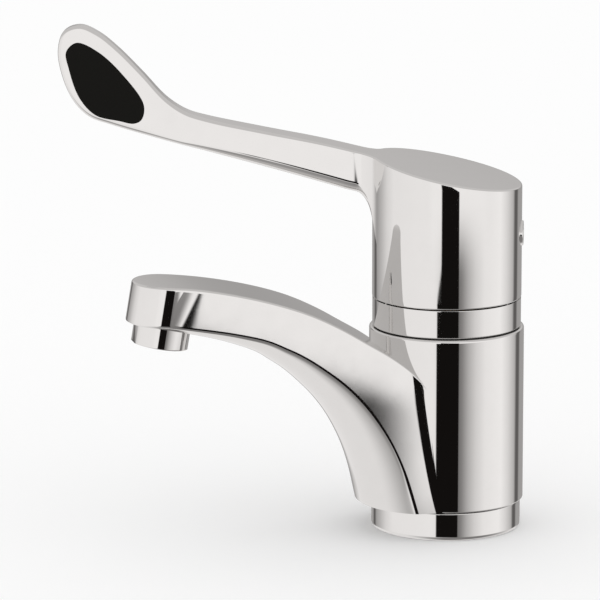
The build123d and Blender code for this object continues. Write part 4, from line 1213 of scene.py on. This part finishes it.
class TAP_OT_stage(bpy.types.Operator):
    """Camera, floor, light and the studio's wall"""
    bl_idname = "tap.stage"
    bl_label = "Stage"

    def execute(self, context):
        stage = context.scene.tap_stage
        self.camera(context.scene, stage)
        self.floor()
        self.studio(stage)
        self.world(context.scene)
        context.scene.view_settings.view_transform = "Standard"
        return {"FINISHED"}

    def camera(self, scene, stage):
        """Camera at the photograph's viewing angle."""
        data = bpy.data.cameras.new("camera")
        data.lens = stage.lens
        data.sensor_width = SENSOR_WIDTH
        data.clip_end = CLIP_END
        camera = bpy.data.objects.new("camera", data)
        camera.location = CAMERA_PLACE
        camera.rotation_mode = "QUATERNION"
        camera.rotation_quaternion = (CAMERA_TARGET - CAMERA_PLACE).to_track_quat("-Z", "Y")
        scene.collection.objects.link(camera)
        scene.camera = camera

    def floor(self):
        """Wide pale floor that the camera and the shadow see, and the chrome doesn't."""
        mesh = bmesh.new()
        bmesh.ops.create_grid(mesh, x_segments=2, y_segments=2, size=FLOOR_HALF)
        floor = as_object(mesh, "floor", smooth=False)
        floor.location.z = -FLOOR_DROP
        material = new_material("white_sweep")
        surface = add_node(material.node_tree, "ShaderNodeBsdfDiffuse", {"Color": linear("#fdfdfd")})["BSDF"]
        add_node(material.node_tree, "ShaderNodeOutputMaterial", {"Surface": surface})
        floor.data.materials.append(material)
        floor.visible_glossy = False

    def studio(self, stage):
        """Drum of light round the tap that only reflections see, its greys by direction."""
        low, high = Vector((0, 0, STUDIO_LOW)), Vector((0, 0, STUDIO_HIGH))
        rows = []
        for step in range(STUDIO_STEPS + 1):
            angle = 2 * math.pi * step / STUDIO_STEPS
            spot = Vector((math.cos(angle), math.sin(angle), 0)) * stage.studio_radius
            rows.append([low, spot + low, spot + high, high])
        mesh = bmesh.new()
        add_grid(mesh, rows)
        bmesh.ops.remove_doubles(mesh, verts=mesh.verts, dist=MM)
        studio = as_object(mesh, "studio", smooth=False)
        studio.data.materials.append(self.studio_material())
        for ray in ("camera", "diffuse", "shadow", "transmission"):
            setattr(studio, f"visible_{ray}", False)

    def studio_material(self):
        """Light of the studio's wall: softboxes, a black card by the camera and grey behind."""
        material = new_material("studio_light")
        put = partial(add_node, material.node_tree)
        place = put("ShaderNodeTexCoord")["Object"]
        camera_turn = math.atan2(CAMERA_PLACE.y, CAMERA_PLACE.x)
        level = put("ShaderNodeVectorRotate", {"Vector": place, "Angle": -camera_turn},
                    rotation_type="Z_AXIS")["Vector"]
        split = put("ShaderNodeSeparateXYZ", {"Vector": level})
        sums = {"x": split["X"], "y": split["Y"], "height": split["Z"]}
        sums["card_left"] = put("ShaderNodeMapRange", {"Value": split["Z"], **CARD_LEAN},
                                interpolation_type="SMOOTHSTEP")["Result"]
        for name, operation, first, second in STUDIO_SUMS:
            pair = {0: sums.get(first, first), 1: sums.get(second, second)}
            sums[name] = put("ShaderNodeMath", pair, operation=operation)["Value"]

        def patched(colour, patches):
            """A colour with patches laid over it."""
            for paint, edges in patches:
                share = 1.0
                for key, start, full in edges:
                    edge = put("ShaderNodeMapRange", {"Value": sums[key], "From Min": start, "From Max": full},
                               interpolation_type="SMOOTHSTEP")["Result"]
                    share = put("ShaderNodeMath", {0: share, 1: edge}, operation="MULTIPLY")["Value"]
                paint = studio_grey(paint) if isinstance(paint, int) else paint
                colour = put("ShaderNodeMix", {"Factor": share, "A": colour, "B": paint},
                             data_type="RGBA")["Result"]
            return colour

        share = put("ShaderNodeMapRange",
                    {"Value": sums["turn"], "From Min": -180.0, "From Max": 180.0})["Result"]
        greys = put("ShaderNodeValToRGB", {"Fac": share})["Color"]
        self.fill_ramp(greys.node.color_ramp, [((angle + 180) / 360, grey) for angle, grey in STUDIO_GREYS])
        ground = patched(studio_grey(GROUND_GREY), GROUND_PATCHES)
        colour = patched(greys, (*STUDIO_PATCHES, (ground, (GROUND_EDGE,))))
        light = put("ShaderNodeEmission", {"Color": colour, "Strength": STUDIO_STRENGTH})["Emission"]
        put("ShaderNodeOutputMaterial", {"Surface": light})
        return material

    def fill_ramp(self, ramp, stops):
        """Stops of a grey ramp, each a share of it and a grey."""
        ramp.elements.remove(ramp.elements[-1])
        for place, (share, grey) in enumerate(stops):
            stop = ramp.elements[0] if place == 0 else ramp.elements.new(share)
            stop.position = share
            stop.color = studio_grey(grey)

    def world(self, scene):
        """Plain even light, white to the camera."""
        world = bpy.data.worlds.new("even_light")
        scene.world = world
        world.use_nodes = True
        tree = world.node_tree
        tree.nodes.clear()
        even = add_node(tree, "ShaderNodeBackground", {"Color": (1, 1, 1, 1), "Strength": 1.0})["Background"]
        add_node(tree, "ShaderNodeOutputWorld", {"Surface": even})


class TAP_PT_tap(bpy.types.Panel):
    """Sidebar panel that lists the tap's pieces"""
    bl_idname = "TAP_PT_tap"
    bl_label = "Elbow Lever Tap"
    bl_space_type = "VIEW_3D"
    bl_region_type = "UI"
    bl_category = "Tap"

    def draw(self, context):
        for operator in OPERATORS:
            self.layout.operator(operator.bl_idname)
        for name in GROUPS:
            group = getattr(context.scene, name)
            box = self.layout.box()
            for key in group.__annotations__:
                box.prop(group, key)


OPERATORS = (TAP_OT_stage, TAP_OT_inner_parts, TAP_OT_foot_ring, TAP_OT_spout, TAP_OT_aerator, TAP_OT_screen,
             TAP_OT_collar, TAP_OT_lever, TAP_OT_grip_pad, TAP_OT_screw_plug)
GROUPS = {"tap_finishes": TapFinishes, "tap_rings": TapRings, "tap_spout": TapSpout, "tap_lever": TapLever,
          "tap_stage": TapStage}


def register():
    """Register the classes and the scene's sizes."""
    for kind in (*GROUPS.values(), *OPERATORS, TAP_PT_tap):
        bpy.utils.register_class(kind)
    for name, kind in GROUPS.items():
        setattr(bpy.types.Scene, name, bpy.props.PointerProperty(type=kind))


def unregister():
    """Take the classes and sizes away again."""
    for name in GROUPS:
        delattr(bpy.types.Scene, name)
    for kind in reversed((*GROUPS.values(), *OPERATORS, TAP_PT_tap)):
        bpy.utils.unregister_class(kind)


def main():
    """Build the tap and its stage."""
    register()
    for operator in OPERATORS:
        getattr(bpy.ops.tap, operator.bl_idname.split(".")[1])()


if __name__ == "__main__":
    main()
